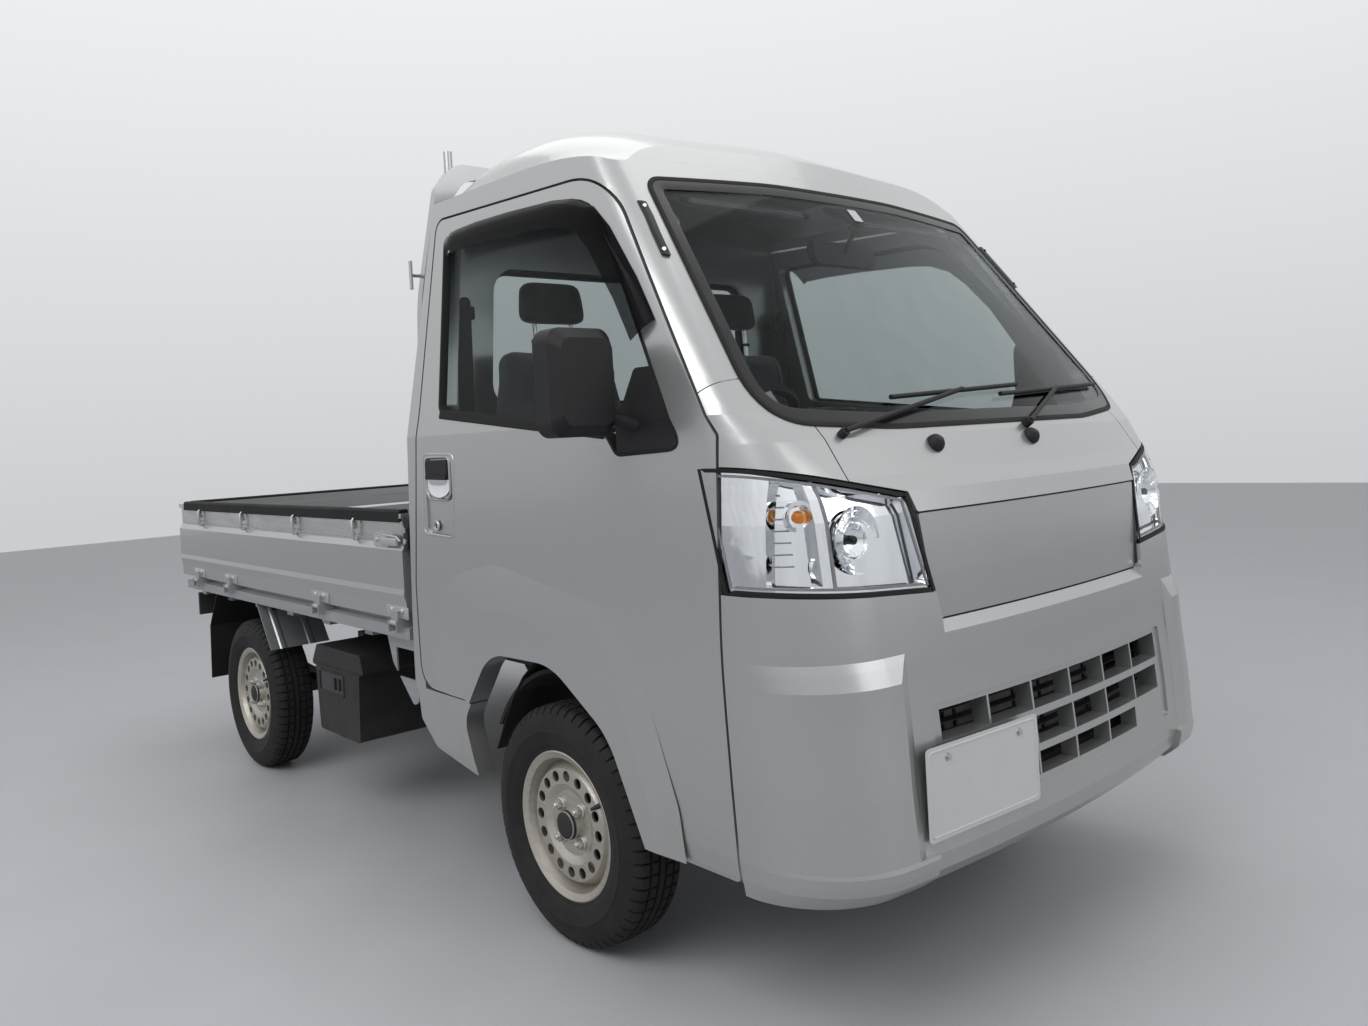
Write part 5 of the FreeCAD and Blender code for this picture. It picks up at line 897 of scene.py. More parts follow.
def make_headlamp(hand, side_name):
    """Reflector rings and facets, bulbs, the bar between the cells and the dark edge of one headlamp."""
    bm = bmesh.new()
    spot = skin_spot(hand)
    face = spot((0.572, 0.909), -0.030)
    bowl = [(0, -16), (10, -15.5), (21, -10), (26, -1), (30, 4), (30.5, 1),
            (40, 6), (40.5, 3), (50, 9), (50.5, 6), (60, 12), (60, 8)]
    turn_profile(bm, bowl, face, AHEAD, 48, 0)
    turn_profile(bm, [(8.5, -14), (8.5, 2), (7, 5.5), (0, 6.5)], face, AHEAD, 24, 1)
    for fin in range(14):
        angle = 2 * math.pi * fin / 14
        way = Vector((0, math.cos(angle), math.sin(angle)))
        spots = [face + way * reach + Vector((along, 0, 0))
                 for reach, along in ((0.031, 0.003), (0.059, 0.0105))]
        run_section(bm, spots, [(-0.6, 0), (0.6, 0), (0.6, 1.6), (-0.6, 1.6)], AHEAD)
    for run, level, size in ((0.690, 0.957, 1.15), (0.655, 0.868, 1.0)):
        place = spot((run, level), -0.026)
        collar = [(23 * size, -6), (23 * size, 2), (17 * size, 2.5), (14 * size, -2)]
        turn_profile(bm, collar, place, AHEAD, 28, 0)
        bulb = [(8.5, 0), (10, 5), (10.4, 10), (8.2, 15.5), (4.1, 19), (0, 19.7)]
        turn_profile(bm, [(radius * size, along * size) for radius, along in bulb], place, AHEAD, 24, 2)
    for row in range(7):
        level = 0.872 + row * 0.0205
        spots = [spot((run, level), -0.0245) for run in spaced(0.706, 0.800, 10)]
        run_section(bm, spots, round_section(1.6, 6), UP, tint=4)
    bar = [spot((0.640, level), -0.010) for level in spaced(0.832, 1.020, 9)]
    run_section(bm, bar, [(-5.5, -3), (5.5, -3), (4, 4), (-4, 4)], AHEAD, tint=4)
    for inset, tint, section in (
        (0.0, 3, [(1.2, -1.2), (1.2, 0.8), (-6, 0.8), (-6.5, -3)]),
        (0.010, 4, [(0, -5.2), (0, -4.5), (-5, -4.5), (-5, -8)]),
    ):
        trim_band(bm, lamp_edge(hand, inset), spot, section, tint=tint)
    finishes = [CHROME, GLOSS_BLACK, AMBER_LENS, SOFT_RUBBER, LAMP_GREY]
    make_piece("headlamp_insides_" + side_name, bm, "chassis", finishes)


def make_grille_slats():
    """Thin slats and uprights behind the openings of the grille."""
    bm = bmesh.new()
    section = [(-10, -1), (10, -1.6), (10, 1.6), (-10, 1)]
    for row in range(9):
        level = 0.415 + row * 0.022
        spots = [nose_spot((-0.43 + 0.0215 * step, level), -0.062) for step in range(41)]
        run_section(bm, spots, section, UP)
    for post in range(9):
        out = -0.40 + 0.10 * post
        foot, head = nose_spot((out, 0.405), -0.075), nose_spot((out, 0.600), -0.075)
        run_section(bm, [foot, head], round_section(4, 8), LEFT)
    make_piece("grille_slats", bm, "chassis", [BLACK_PLASTIC])


PLATE_SIZE = (0.330, 0.165)


def make_number_plate(name, centre, turn, width, height):
    """A blank plate with a pressed rim, two bolts and its black holder."""
    bm = bmesh.new()
    ahead = Vector((math.cos(turn), math.sin(turn), 0))
    place = flat_face(centre, (-math.sin(turn), math.cos(turn), 0), UP, ahead)

    def outline(inset):
        half, rise = width / 2 - inset, height / 2 - inset
        return rounded_box(-half, half, -rise, rise, 0.010)

    cut_plate(bm, outline(0.0), place, 0.0, 0.0012, 0)
    trim_band(bm, outline(0.008), place, [(2.5, 1), (1, 2.8), (-1, 2.8), (-2.5, 1)])
    cut_plate(bm, outline(0.012), place, -0.004, -0.0002, 1)
    for side in (-1, 1):
        bolt = place(Vector((side * width * 0.32, height * 0.36)), 0.001)
        turn_profile(bm, [(8, 0), (7.6, 1.6), (5.2, 1.8)], bolt, ahead, 20, 2)
        turn_profile(bm, [(5.5, 1), (5.5, 5.5), (0, 6)], bolt, ahead, 6, 2)
    make_piece(name, bm, "chassis", [WHITE_PLATE, BLACK_PLASTIC, ZINC])


for lamp_side in SIDES:
    make_headlamp(*lamp_side)
make_grille_slats()
make_number_plate("front_plate", nose_spot((-0.341, 0.4585), 0.009), -0.071, *PLATE_SIZE)
frame_low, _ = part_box("ladder_frame")
make_number_plate("rear_plate", (frame_low[0] - 0.008, 0, 0.500), math.pi, *PLATE_SIZE)


# Windshield, windows and cab trim

# across, height, corner radius
GLASS_CORNERS = [
    (0.3688, 1.1032, 1.142), (0.6674, 1.1249, 0.097), (0.5789, 1.6513, 0.046), (0.2213, 1.6696, 1.713),
    (-0.2213, 1.6696, 1.713), (-0.5789, 1.6513, 0.046), (-0.6674, 1.1249, 0.097), (-0.3688, 1.1032, 1.142),
]
# forward, height, corner radius
DOOR_WINDOW_CORNERS = [
    (0.4596, 1.2002, 0.025), (0.4119, 1.6468, 0.025), (1.0329, 1.6274, 0.190),
    (1.3510, 1.0849, 0.025), (1.1604, 1.0769, 0.025), (1.1297, 1.1192, 0.034),
]
# across, height, corner radius
BACK_WINDOW_CORNERS = [
    (-0.5015, 1.2105, 0.0685), (0.5015, 1.2105, 0.0685), (0.4868, 1.5874, 0.0685), (-0.4868, 1.5874, 0.0685),
]
# forward, height
VISOR_LINE = [
    (0.425, 1.640), (0.450, 1.658), (0.560, 1.660), (0.702, 1.655), (0.887, 1.643), (0.964, 1.631),
    (1.040, 1.598), (1.099, 1.545), (1.150, 1.483), (1.198, 1.425), (1.240, 1.365), (1.262, 1.333),
]
# run along the skin from the middle, height
PILLAR_LINE = [(0.628, 1.590), (0.632, 1.556), (0.641, 1.516), (0.650, 1.464)]
# forward, height
HANDLE_PLACE = (0.448, 1.045)
LOCK_PLACE = (0.430, 0.916)


def cab_front_spot(point, lift=0.0):
    """A spot on the windshield, or on the nose where it runs on below the belt."""
    return glass_spot(point, lift) if point[1] >= BELT_HEIGHT else nose_spot(point, lift)


def make_windshield_trim():
    """The rubber round the windshield, its printed black border and a small blank sticker."""
    bm = bmesh.new()
    line = finer(rounded_line(GLASS_CORNERS, 10), 0.04)
    rubber = [(4.5, -1), (3.5, 2.2), (0, 3), (-5, 2.2), (-6.5, 0.3)]
    trim_band(bm, line, cab_front_spot, rubber, tint=0)
    border = [(-4, 0.9), (-4, 1.2), (-26, 1), (-28, 0.6), (-26, 0.3)]
    trim_band(bm, line, cab_front_spot, border, tint=1)
    cut_plate(bm, rounded_box(0.010, 0.042, 1.598, 1.630, 0.003), cab_front_spot, 0.0004, 0.0008, 2)
    make_piece("windshield_rubber", bm, "chassis", [SOFT_RUBBER, GLOSS_BLACK, WHITE_PLATE])


def make_window_rubber(hand, side_name):
    """The rubber inside the opening of one door's window, and its wider strip along the bottom."""
    bm = bmesh.new()
    spot = side_spot(hand)
    line = finer(rounded_line(DOOR_WINDOW_CORNERS, 6), 0.05)
    section = [(4, -1), (3, 2.2), (-3, 2.4), (-9.5, -11), (-9.5, -14.6), (0, -14.6)]
    trim_band(bm, line, spot, section)
    low = finer([Vector((0.466, 1.196)), Vector((1.122, 1.123))], 0.08, closed=False)
    band = [(-7, 0.4), (-6, 3.6), (10, 4), (13, 2), (13, -13), (-2, -13.5)]
    trim_band(bm, low, spot, band, closed=False)
    make_piece("window_rubber_" + side_name, bm, "door_" + side_name, [SOFT_RUBBER])


def make_visor(hand, side_name):
    """The smoked rain visor over one door's window."""
    bm = bmesh.new()
    line = finer([Vector(point) for point in VISOR_LINE], 0.03, closed=False)
    section = [(0, 1), (-6, 8.5), (-20, 14), (-40, 16.5), (-62, 17.5),
               (-62, 15), (-40, 14), (-21, 11.5), (-8, 6.2), (-3, 1)]
    trim_band(bm, line, side_spot(hand), section, closed=False)
    make_piece("rain_visor_" + side_name, bm, "door_" + side_name, [SMOKED])


def make_door_handle(hand, side_name):
    """The black flap, its bright bowl, the lock and the pressed frame round them."""
    bm = bmesh.new()
    place = side_spot(hand)
    x, z = HANDLE_PLACE
    flap = rounded_line([(x - 0.054, z - 0.008, 0.006), (x + 0.054, z - 0.010, 0.006),
                         (x + 0.054, z + 0.036, 0.014), (x - 0.054, z + 0.036, 0.014)])
    trim_band(bm, flap, place, [(0, -4.5), (0, 3.5), (-4, 6), (-4, -4.5)], tint=0)
    cut_plate(bm, [point * 0.93 + Vector((x, z + 0.014)) * 0.07 for point in flap], place, -0.004, 0.0056, 0)
    grip = [(x - 0.050, z - 0.012), (x + 0.050, z - 0.014), (x + 0.050, z - 0.002), (x - 0.050, z)]
    cut_plate(bm, rounded_line([(u, v, 0.004) for u, v in grip]), place, -0.004, 0.0078, 0)

    def bowl(column, row):
        across, down = column / 14 * 2 - 1, row / 8
        wide = 0.055 * math.sqrt(max(0.0, 1 - max(0.0, down * 1.05 - 0.35) ** 2 / 0.50))
        depth = 0.0042 * (1 - across * across) * math.sin(math.pi * min(1.0, 0.15 + down * 0.85))
        return place((x + across * wide, z - 0.012 - down * 0.046), -0.0012 - depth * 0.7)

    sheet_patch(bm, bowl, 14, 8, 1)
    rim = rounded_line([(x - 0.058, z - 0.062, 0.030), (x + 0.058, z - 0.062, 0.030),
                        (x + 0.058, z + 0.042, 0.016), (x - 0.058, z + 0.042, 0.016)])
    trim_band(bm, rim, place, [(4, -1), (2.5, 2.2), (0, 2.6), (-3, -4)], tint=2)
    frame_line = rounded_line([(x - 0.083, z - 0.150, 0.020), (x + 0.062, z - 0.156, 0.020),
                               (x + 0.082, z + 0.049, 0.022), (x - 0.070, z + 0.052, 0.022)])
    ridge = [(3.5, -0.4), (1.8, 1.2), (-1.2, 1.3), (-3.5, -0.4)]
    trim_band(bm, finer(frame_line, 0.03), place, ridge, tint=2)
    lock = place(LOCK_PLACE)
    barrel = [(13.5, -1), (13.5, 1.6), (11.5, 3.4), (9.5, 3), (9, 0.6), (0, 0.6)]
    turn_profile(bm, barrel, lock, (0, hand, 0), 32, 3)
    soft_block(bm, lock + Vector((-0.0012, -0.002, -0.0055)), lock + Vector((0.0012, 0.002, 0.0055)), 0.0004, 0)
    make_piece("door_handle_" + side_name, bm, "door_" + side_name, [BLACK_PLASTIC, CHROME, SILVER, ZINC])


def make_mirror_face(hand, side_name):
    """The glass and its bezel on the back of one mirror's head."""
    bm = bmesh.new()
    place = flat_face((1.1516, 0, 0), (0, hand, 0), UP, BACK)

    def outline(inset):
        return rounded_box(0.7675 + inset, 0.9175 - inset, 1.1165 + inset, 1.3205 - inset, 0.030 - inset / 2)

    cut_plate(bm, outline(0.012), place, -0.002, 0.0012, 0)
    bezel = [(4, -1), (2, 3), (-3, 3), (-6, 0.8)]
    trim_band(bm, outline(0.007), place, bezel, tint=1)
    make_piece("mirror_face_" + side_name, bm, "door_" + side_name, [CHROME, BLACK_PLASTIC])


def make_pillar_strip(hand, side_name):
    """The short black strip let into the windshield pillar above the door's window."""
    bm = bmesh.new()
    spot = skin_spot(hand)
    line = finer([Vector(point) for point in PILLAR_LINE], 0.02, closed=False)
    section = [(9.5, -1), (8, 3.5), (0, 5), (-8, 3.5), (-9.5, -1)]
    trim_band(bm, line, spot, section, closed=False)
    for point in ((0.630, 1.578), (0.649, 1.476)):
        head = [(4.5, 0), (4.2, 1.8), (0, 2)]
        turn_profile(bm, head, spot(point, 0.0042), (0.6, hand * 0.8, 0.3), 16, 1)
    make_piece("pillar_strip_" + side_name, bm, "chassis", [GLOSS_BLACK, ZINC])


def make_back_window_rubber():
    """The rubber round the cab's back window."""
    bm = bmesh.new()
    line = finer(rounded_line(BACK_WINDOW_CORNERS, 8), 0.06)
    section = [(10, -1), (8, 3.5), (-4, 4.5), (-13, -10), (-13, -24), (0, -24.5)]
    trim_band(bm, line, back_spot, section)
    make_piece("back_window_rubber", bm, "chassis", [SOFT_RUBBER])


def make_washer_nozzles():
    """Two washer nozzles on the cowl."""
    bm = bmesh.new()
    lean = Vector((0.6, 0, 0.8))
    dome = [(18.5, -4), (18.5, 3), (16, 10), (10.5, 16.5), (0, 18.5)]
    jet = [(2.2, 0), (2.2, 3), (1.2, 3.4), (0, 3)]
    for out in (-0.285, 0.052):
        foot = nose_spot((out, 1.066))
        turn_profile(bm, dome, foot, lean, 28, 0)
        turn_profile(bm, jet, foot + lean * 0.0130 + Vector((-0.008, 0, 0.0006)), (-0.7, 0, 0.7), 12, 1)
    make_piece("washer_nozzles", bm, "chassis", [BLACK_PLASTIC, ZINC])


make_windshield_trim()
make_back_window_rubber()
make_washer_nozzles()
for cab_side in SIDES:
    make_window_rubber(*cab_side)
    make_visor(*cab_side)
    make_door_handle(*cab_side)
    make_mirror_face(*cab_side)
    make_pillar_strip(*cab_side)


# Gates, bed and what hangs below

GATE_TOP = 0.942
GATE_FRONT = 0.234
GATE_BACK = -1.6905
# faces of the recessed band under the gates' top
SIDE_BAND = 0.7228
TAIL_BAND = -1.6683
SIDE_FACE = 0.7300
BOX_FACE = 0.705
# along the side gate, and across the tailgate
HOOK_PLACES = (-0.0547, -0.4973, -0.9688, -1.4307)
HINGE_PLACES = (0.1859, -0.3241, -1.1208, -1.4730)
TAIL_HOOK_PLACES = (-0.4218, -0.1406, 0.1406, 0.4218)
# inward, upward, in millimetres
GATE_RUBBER = [(-16, -24), (-16, 4), (-11, 10), (9, 10.5), (13.5, 6), (13.5, -2)]
# turn about the front axle in degrees, radius: the arc of the black sheet that paints the shade in the front
# wheel arches
ARCH_SHADE_ARC = [(24, 0.405), (48, 0.420), (72, 0.410), (96, 0.385), (108, 0.365), (120, 0.346), (132, 0.329),
             (144, 0.318), (156, 0.317), (161, 0.322)]


def placed_block(bm, place, low, high, radius, tint=0):
    """A rounded block between two corners (u, v, lift) on a surface that lies along the axes."""
    ends = [place(corner[:2], corner[2]) for corner in (low, high)]
    soft_block(bm, [min(pair) for pair in zip(*ends)], [max(pair) for pair in zip(*ends)], radius, tint)


def add_rope_hook(bm, place, along, shift, lifts, axis):
    """A wire hook across the band, with the bracket at each side of it."""
    top, reach, low = lifts
    wire = [(0.921, 0.001), (0.9215, top), (0.9150, reach), (0.8700, reach), (0.8640, low), (0.8630, 0.002)]
    spots = [place((along + shift, level), lift) for level, lift in wire]
    run_section(bm, spots, round_section(4, 12), axis, tint=1)
    placed_block(bm, place, (along - 0.046, 0.892, -0.001), (along - 0.012, 0.922, 0.0075), 0.0025, 1)
    placed_block(bm, place, (along + 0.010, 0.897, -0.001), (along + 0.030, 0.921, 0.0075), 0.0025, 1)


def make_side_gate_fittings(hand, side_name):
    """The rubber strip along one side gate's top and its latch at the front end."""
    bm = bmesh.new()
    out = (0, hand, 0)
    spots = [(along, hand * 0.7175, GATE_TOP) for along in (GATE_BACK + 0.062, GATE_FRONT - 0.012)]
    run_section(bm, spots, [(side * -hand, up) for side, up in GATE_RUBBER], UP)
    place = flat_face((0, hand * SIDE_FACE, 0), AHEAD, UP, out)
    plate = [(0.066, 0.852), (0.086, 0.845), (0.150, 0.848), (0.150, 0.884), (0.086, 0.890), (0.066, 0.880)]
    cut_plate(bm, rounded_line([(u, v, 0.006) for u, v in plate]), place, -0.012, 0.0035, 1)
    placed_block(bm, place, (0.118, 0.854, 0.0), (0.206, 0.877, 0.009), 0.004, 1)
    for along in (0.084, 0.134):
        rivet = [(8, 0), (7.6, 5.8), (4.5, 7.2), (0, 7.4)]
        turn_profile(bm, rivet, place((along, 0.868)), out, 20, 1)
    lever = [place((0.130, 0.883), 0.004), place((0.205, 0.880), 0.006), place((0.222, 0.868), 0.004)]
    run_section(bm, lever, round_section(3.2, 8), UP, tint=1)
    make_piece("gate_fittings_" + side_name, bm, "gate_" + side_name, [SOFT_RUBBER, ZINC])


def make_latch_keeper(hand, side_name):
    """The keeper of one side gate's latch and the black cap above it, on the guard frame's foot."""
    bm = bmesh.new()
    out = (0, hand, 0)
    side_block(bm, hand, (0.2385, 0.7050, 0.846), (0.2640, 0.7330, 0.892), 0.005, 0)
    cap = [(0, -12), (18, -11), (21, 0), (21, 10), (16, 15), (0, 16)]
    turn_profile(bm, cap, (0.2560, hand * 0.7165, 0.918), out, 28, 0)
    pin = [(7.5, -1), (7.5, 4), (0, 4.5)]
    turn_profile(bm, pin, (0.2525, hand * 0.7325, 0.869), out, 16, 1)
    make_piece("latch_keeper_" + side_name, bm, "chassis", [BLACK_PLASTIC, ZINC])


def make_hook_band(hand, side_name):
    """The bare metal band under the side gate's top, with its wire hooks, brackets and hinge leaves."""
    bm = bmesh.new()
    out = (0, hand, 0)
    place = flat_face((0, hand * SIDE_BAND, 0), AHEAD, UP, out)
    band = rounded_box(GATE_BACK + 0.030, GATE_FRONT - 0.014, 0.8585, 0.9275, 0.004)
    cut_plate(bm, band, place, -0.0008, 0.0007, 0)
    ridge = [(-3, -0.6), (3, -0.6), (1.6, 1.8), (-1.6, 1.8)]
    for level in (0.8700, 0.9160):
        ends = [place((along, level), 0.0008) for along in (GATE_BACK + 0.045, GATE_FRONT - 0.030)]
        run_section(bm, ends, ridge, out)
    for along in HOOK_PLACES:
        add_rope_hook(bm, place, along, -0.001, (0.0120, 0.0170, 0.0130), AHEAD)
    for along in HINGE_PLACES:
        side_block(bm, hand, (along - 0.062, 0.7300, 0.6600), (along + 0.062, 0.7350, 0.6920), 0.0020, 1)
        for shift in (-0.030, 0.030):
            rivet = [(8, 0), (7.6, 3), (5.2, 5), (0, 5.2)]
            turn_profile(bm, rivet, (along + shift, hand * 0.7348, 0.6810), out, 20, 1)
    make_piece("hook_band_" + side_name, bm, "gate_" + side_name, [HOOK_BAND, ZINC])


def make_tailgate_fittings():
    """The rubber strip along the tailgate's top, its hook band and a latch near each end."""
    bm = bmesh.new()
    run_section(bm, [(-1.6630, 0.690, GATE_TOP), (-1.6630, -0.690, GATE_TOP)], GATE_RUBBER, UP)
    place = flat_face((TAIL_BAND, 0, 0), LEFT, UP, BACK)
    cut_plate(bm, rounded_box(-0.680, 0.680, 0.8585, 0.9275, 0.004), place, -0.0008, 0.0007, 2)
    for across in TAIL_HOOK_PLACES:
        add_rope_hook(bm, place, across, 0.0, (0.0100, 0.0120, 0.0100), LEFT)
    for hand in (1, -1):
        placed_block(bm, place, (hand * 0.560, 0.866, -0.001), (hand * 0.650, 0.904, 0.0045), 0.002, 1)
        placed_block(bm, place, (hand * 0.590, 0.874, 0.0040), (hand * 0.686, 0.894, 0.0100), 0.002, 1)
        for across in (0.575, 0.632):
            rivet = [(7.5, 0), (7.2, 6.2), (4.2, 7.6), (0, 7.8)]
            turn_profile(bm, rivet, place((hand * across, 0.885), 0.004), BACK, 20, 1)
    make_piece("tailgate_fittings", bm, "tailgate", [SOFT_RUBBER, ZINC, HOOK_BAND])


def make_arch_shade_sheet(hand, side_name):
    """A black sheet in the top and the back of a front wheel's arch: painted shade over the arch's walls."""
    bm = bmesh.new()
    axle = Vector((FRONT_AXLE, hand * 0.624, TYRE_RADIUS))
    spots = []
    for turn, radius in ARCH_SHADE_ARC:
        angle = math.radians(turn)
        spots.append(axle + Vector((radius * math.cos(angle), 0, radius * math.sin(angle))))
    section = [(-1.2, -59), (-1.2, -20), (-3, -14), (-3, 14), (-1.2, 20), (-1.2, 59), (1.2, 59), (1.2, -59)]
    # the dark floor vinyl here is painted shade where the arch's walls would catch light
    run_section(bm, spots, section, LEFT)
    make_piece("arch_shade_sheet_" + side_name, bm, "chassis", [FLOOR_VINYL])


def make_box_fittings():
    """The dark recess, its clip and the seam round the lid of the box behind the cab."""
    bm = bmesh.new()
    place = flat_face((0, -BOX_FACE, 0), AHEAD, UP, (0, -1, 0))
    hollow = rounded_box(-0.425, -0.255, 0.372, 0.432, 0.006)
    cut_plate(bm, hollow, place, -0.001, 0.0006, 0)
    trim_band(bm, hollow, place, [(6, -0.5), (4.5, 3.5), (0, 4), (-1.5, 0.6)], tint=1)
    for along in (-0.318, -0.286):
        placed_block(bm, place, (along - 0.008, 0.384, 0.0), (along + 0.008, 0.420, 0.0045), 0.002, 1)
    seam = [(-4, -1), (4, -1), (3, 3), (-3, 3)]
    run_section(bm, [place((-0.465, 0.449)), place((-0.135, 0.449))], seam, (0, -1, 0), tint=1)
    make_piece("box_fittings", bm, "chassis", [GLOSS_BLACK, BLACK_PLASTIC])


for bed_side in SIDES:
    make_side_gate_fittings(*bed_side)
    make_latch_keeper(*bed_side)
    make_hook_band(*bed_side)
make_tailgate_fittings()
# black sheets that paint the shade inside the front wheel arches
for arch_side in SIDES:
    make_arch_shade_sheet(*arch_side)
make_box_fittings()


# Cab interior

STEERING_HUB = Vector((1.065141, -0.345, 1.0849))
COLUMN_LEAN = math.radians(38)
DOOR_INNER = 0.6860
SEAT_OUT = 0.345
SEAM_OUT = 0.130
SEAM_STEP = 0.020
# name, edge radius, fill, block levels (height, back, front, half width), low and high corner of the pad's box
SEAT_PADS = [
    ("seat_cushion", 0.030, 0.8, [(0.774, 0.425, 0.862, 0.225), (0.850, 0.425, 0.855, 0.225)],
     (0.404, 0.242, 0.767), (0.880, 0.242, 0.874)),
    ("seat_back", 0.032, 0.8, [(0.900, 0.432, 0.524, 0.223), (1.180, 0.412, 0.500, 0.225),
                               (1.375, 0.398, 0.478, 0.185)], (0.378, 0.242, 0.880), (0.543, 0.242, 1.394)),
    ("headrest", 0.026, 0.9, [(1.432, 0.402, 0.468, 0.104), (1.545, 0.394, 0.458, 0.092)],
     (0.378, 0.1225, 1.416), (0.495, 0.1225, 1.562)),
]
PAD_VOXEL = 0.011
SWELL_LIMIT = 0.024
SWELL_FRAMES = 20


def settled_mesh(piece):
    """The mesh of an object as its modifiers leave it."""
    reading = bpy.context.evaluated_depsgraph_get()
    reading.update()
    return bpy.data.meshes.new_from_object(piece.evaluated_get(reading))


def take_shape(piece):
    """Keep what the modifiers made of an object, and clear them."""
    old, new = piece.data, settled_mesh(piece)
    piece.modifiers.clear()
    piece.data = new
    bpy.data.meshes.remove(old)


def swell(piece):
    """Blow cloth up over the pad's shape, no point moving further than the limit."""
    cloth = piece.modifiers.new("cover", "CLOTH")
    cloth.settings.quality = 6
    cloth.settings.mass = 0.30
    cloth.settings.tension_stiffness = 18
    cloth.settings.compression_stiffness = 12
    cloth.settings.bending_stiffness = 2.0
    cloth.settings.use_pressure = True
    cloth.settings.uniform_pressure_force = 4.0
    cloth.settings.effector_weights.gravity = 0
    cloth.point_cache.frame_start = 1
    cloth.point_cache.frame_end = SWELL_FRAMES
    start = [vertex.co.copy() for vertex in piece.data.vertices]
    for moment in range(1, SWELL_FRAMES + 1):
        bpy.context.scene.frame_set(moment)
    blown = settled_mesh(piece)
    ends = [vertex.co.copy() for vertex in blown.vertices]
    bpy.data.meshes.remove(blown)
    piece.modifiers.clear()
    bpy.context.scene.frame_set(1)
    for vertex, low, high in zip(piece.data.vertices, start, ends):
        move = high - low
        if move.length > SWELL_LIMIT:
            move *= SWELL_LIMIT / move.length
        vertex.co = low + move


def soft_pad(name, bm, body, low, high):
    """A padded cushion of seat cloth that stays inside the given box."""
    piece = loose_object(name, bm, [SEAT_CLOTH])
    remesh = piece.modifiers.new("even", "REMESH")
    remesh.mode = "VOXEL"
    remesh.voxel_size = PAD_VOXEL
    take_shape(piece)
    swell(piece)
    smoother = piece.modifiers.new("smooth", "SUBSURF")
    smoother.levels = 1
    smoother.render_levels = 1
    take_shape(piece)
    for vertex in piece.data.vertices:
        vertex.co = Vector([min(max(part, a), b) for part, a, b in zip(vertex.co, low, high)])
    piece.data.materials.clear()
    piece.data.materials.append(SEAT_CLOTH)
    piece.data.shade_smooth()
    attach(piece, body)
    return piece


def tapered_block(bm, levels, radius):
    """A block through level outlines (z, x low, x high, y low, y high), with its edges rounded."""
    rings = []
    for z, x_low, x_high, y_low, y_high in levels:
        corners = [(x_low, y_low), (x_high, y_low), (x_high, y_high), (x_low, y_high)]
        rings.append([bm.verts.new((x, y, z)) for x, y in corners])
    for low, high in zip(rings, rings[1:]):
        bridge(bm, low, high)
    cap_ends(bm, rings)
    bmesh.ops.recalc_face_normals(bm, faces=bm.faces)
    edges = [edge for edge in bm.edges if edge.calc_face_angle(0) > 0.5]
    bmesh.ops.bevel(bm, geom=edges, offset=radius, segments=3, profile=0.5, affect="EDGES")


def surface_line(piece, starts, way):
    """Drop a line of spots on to a piece along one direction."""
    tree = BVHTree.FromObject(piece, bpy.context.evaluated_depsgraph_get())
    spots = []
    for start in starts:
        hit = tree.ray_cast(Vector(start), Vector(way))[0]
        if hit is not None:
            spots.append(hit)
    return spots


def make_seat(hand, side_name):
    """One seat: cushion, back and headrest pads, with seams, channels and headrest posts."""
    middle = hand * SEAT_OUT
    pads = []
    for name, radius, fill, levels, low, high in SEAT_PADS:
        bm = bmesh.new()
        outlines = [(z, back, front, middle - half, middle + half) for z, back, front, half in levels]
        tapered_block(bm, outlines, radius)
        low, high = (low[0], middle - low[1], low[2]), (high[0], middle + high[1], high[2])
        pads.append(soft_pad(name + "_" + side_name, bm, "chassis", low, high))
    cushion, back, rest = pads
    bm = bmesh.new()
    seam = round_section(2.2, 8)
    down = (0, 0, -1)
    for out in (-SEAM_OUT, SEAM_OUT):
        starts = [(0.450 + SEAM_STEP * step, middle + out, 1.1) for step in range(20)]
        run_section(bm, surface_line(cushion, starts, down), seam, LEFT)
        starts = [(0.80, middle + out, 0.935 + SEAM_STEP * step) for step in range(21)]
        run_section(bm, surface_line(back, starts, BACK), seam, LEFT)
    for along in (0.530, 0.620, 0.710, 0.800):
        starts = [(along, middle - SEAM_OUT + SEAM_STEP * step, 1.1) for step in range(14)]
        run_section(bm, surface_line(cushion, starts, down), seam, AHEAD)
    for level in (0.990, 1.080, 1.170, 1.260):
        starts = [(0.80, middle - SEAM_OUT + SEAM_STEP * step, level) for step in range(14)]
        run_section(bm, surface_line(back, starts, BACK), seam, UP)
    for out in (-0.061, 0.061):
        post = [(0.440, middle + out, 1.350), (0.432, middle + out, 1.450)]
        run_section(bm, post, round_section(6, 16), LEFT, tint=1)
        sleeve = [(13.5, 0), (12.5, 6), (8, 8.5), (6.5, 8.5)]
        turn_profile(bm, sleeve, (0.4375, middle + out, 1.382), UP, 20, 2)
    seams = make_piece("seat_seams_" + side_name, bm, "chassis", [DARK_THREAD, CHROME, BLACK_PLASTIC])
    return [cushion, back, rest, seams]


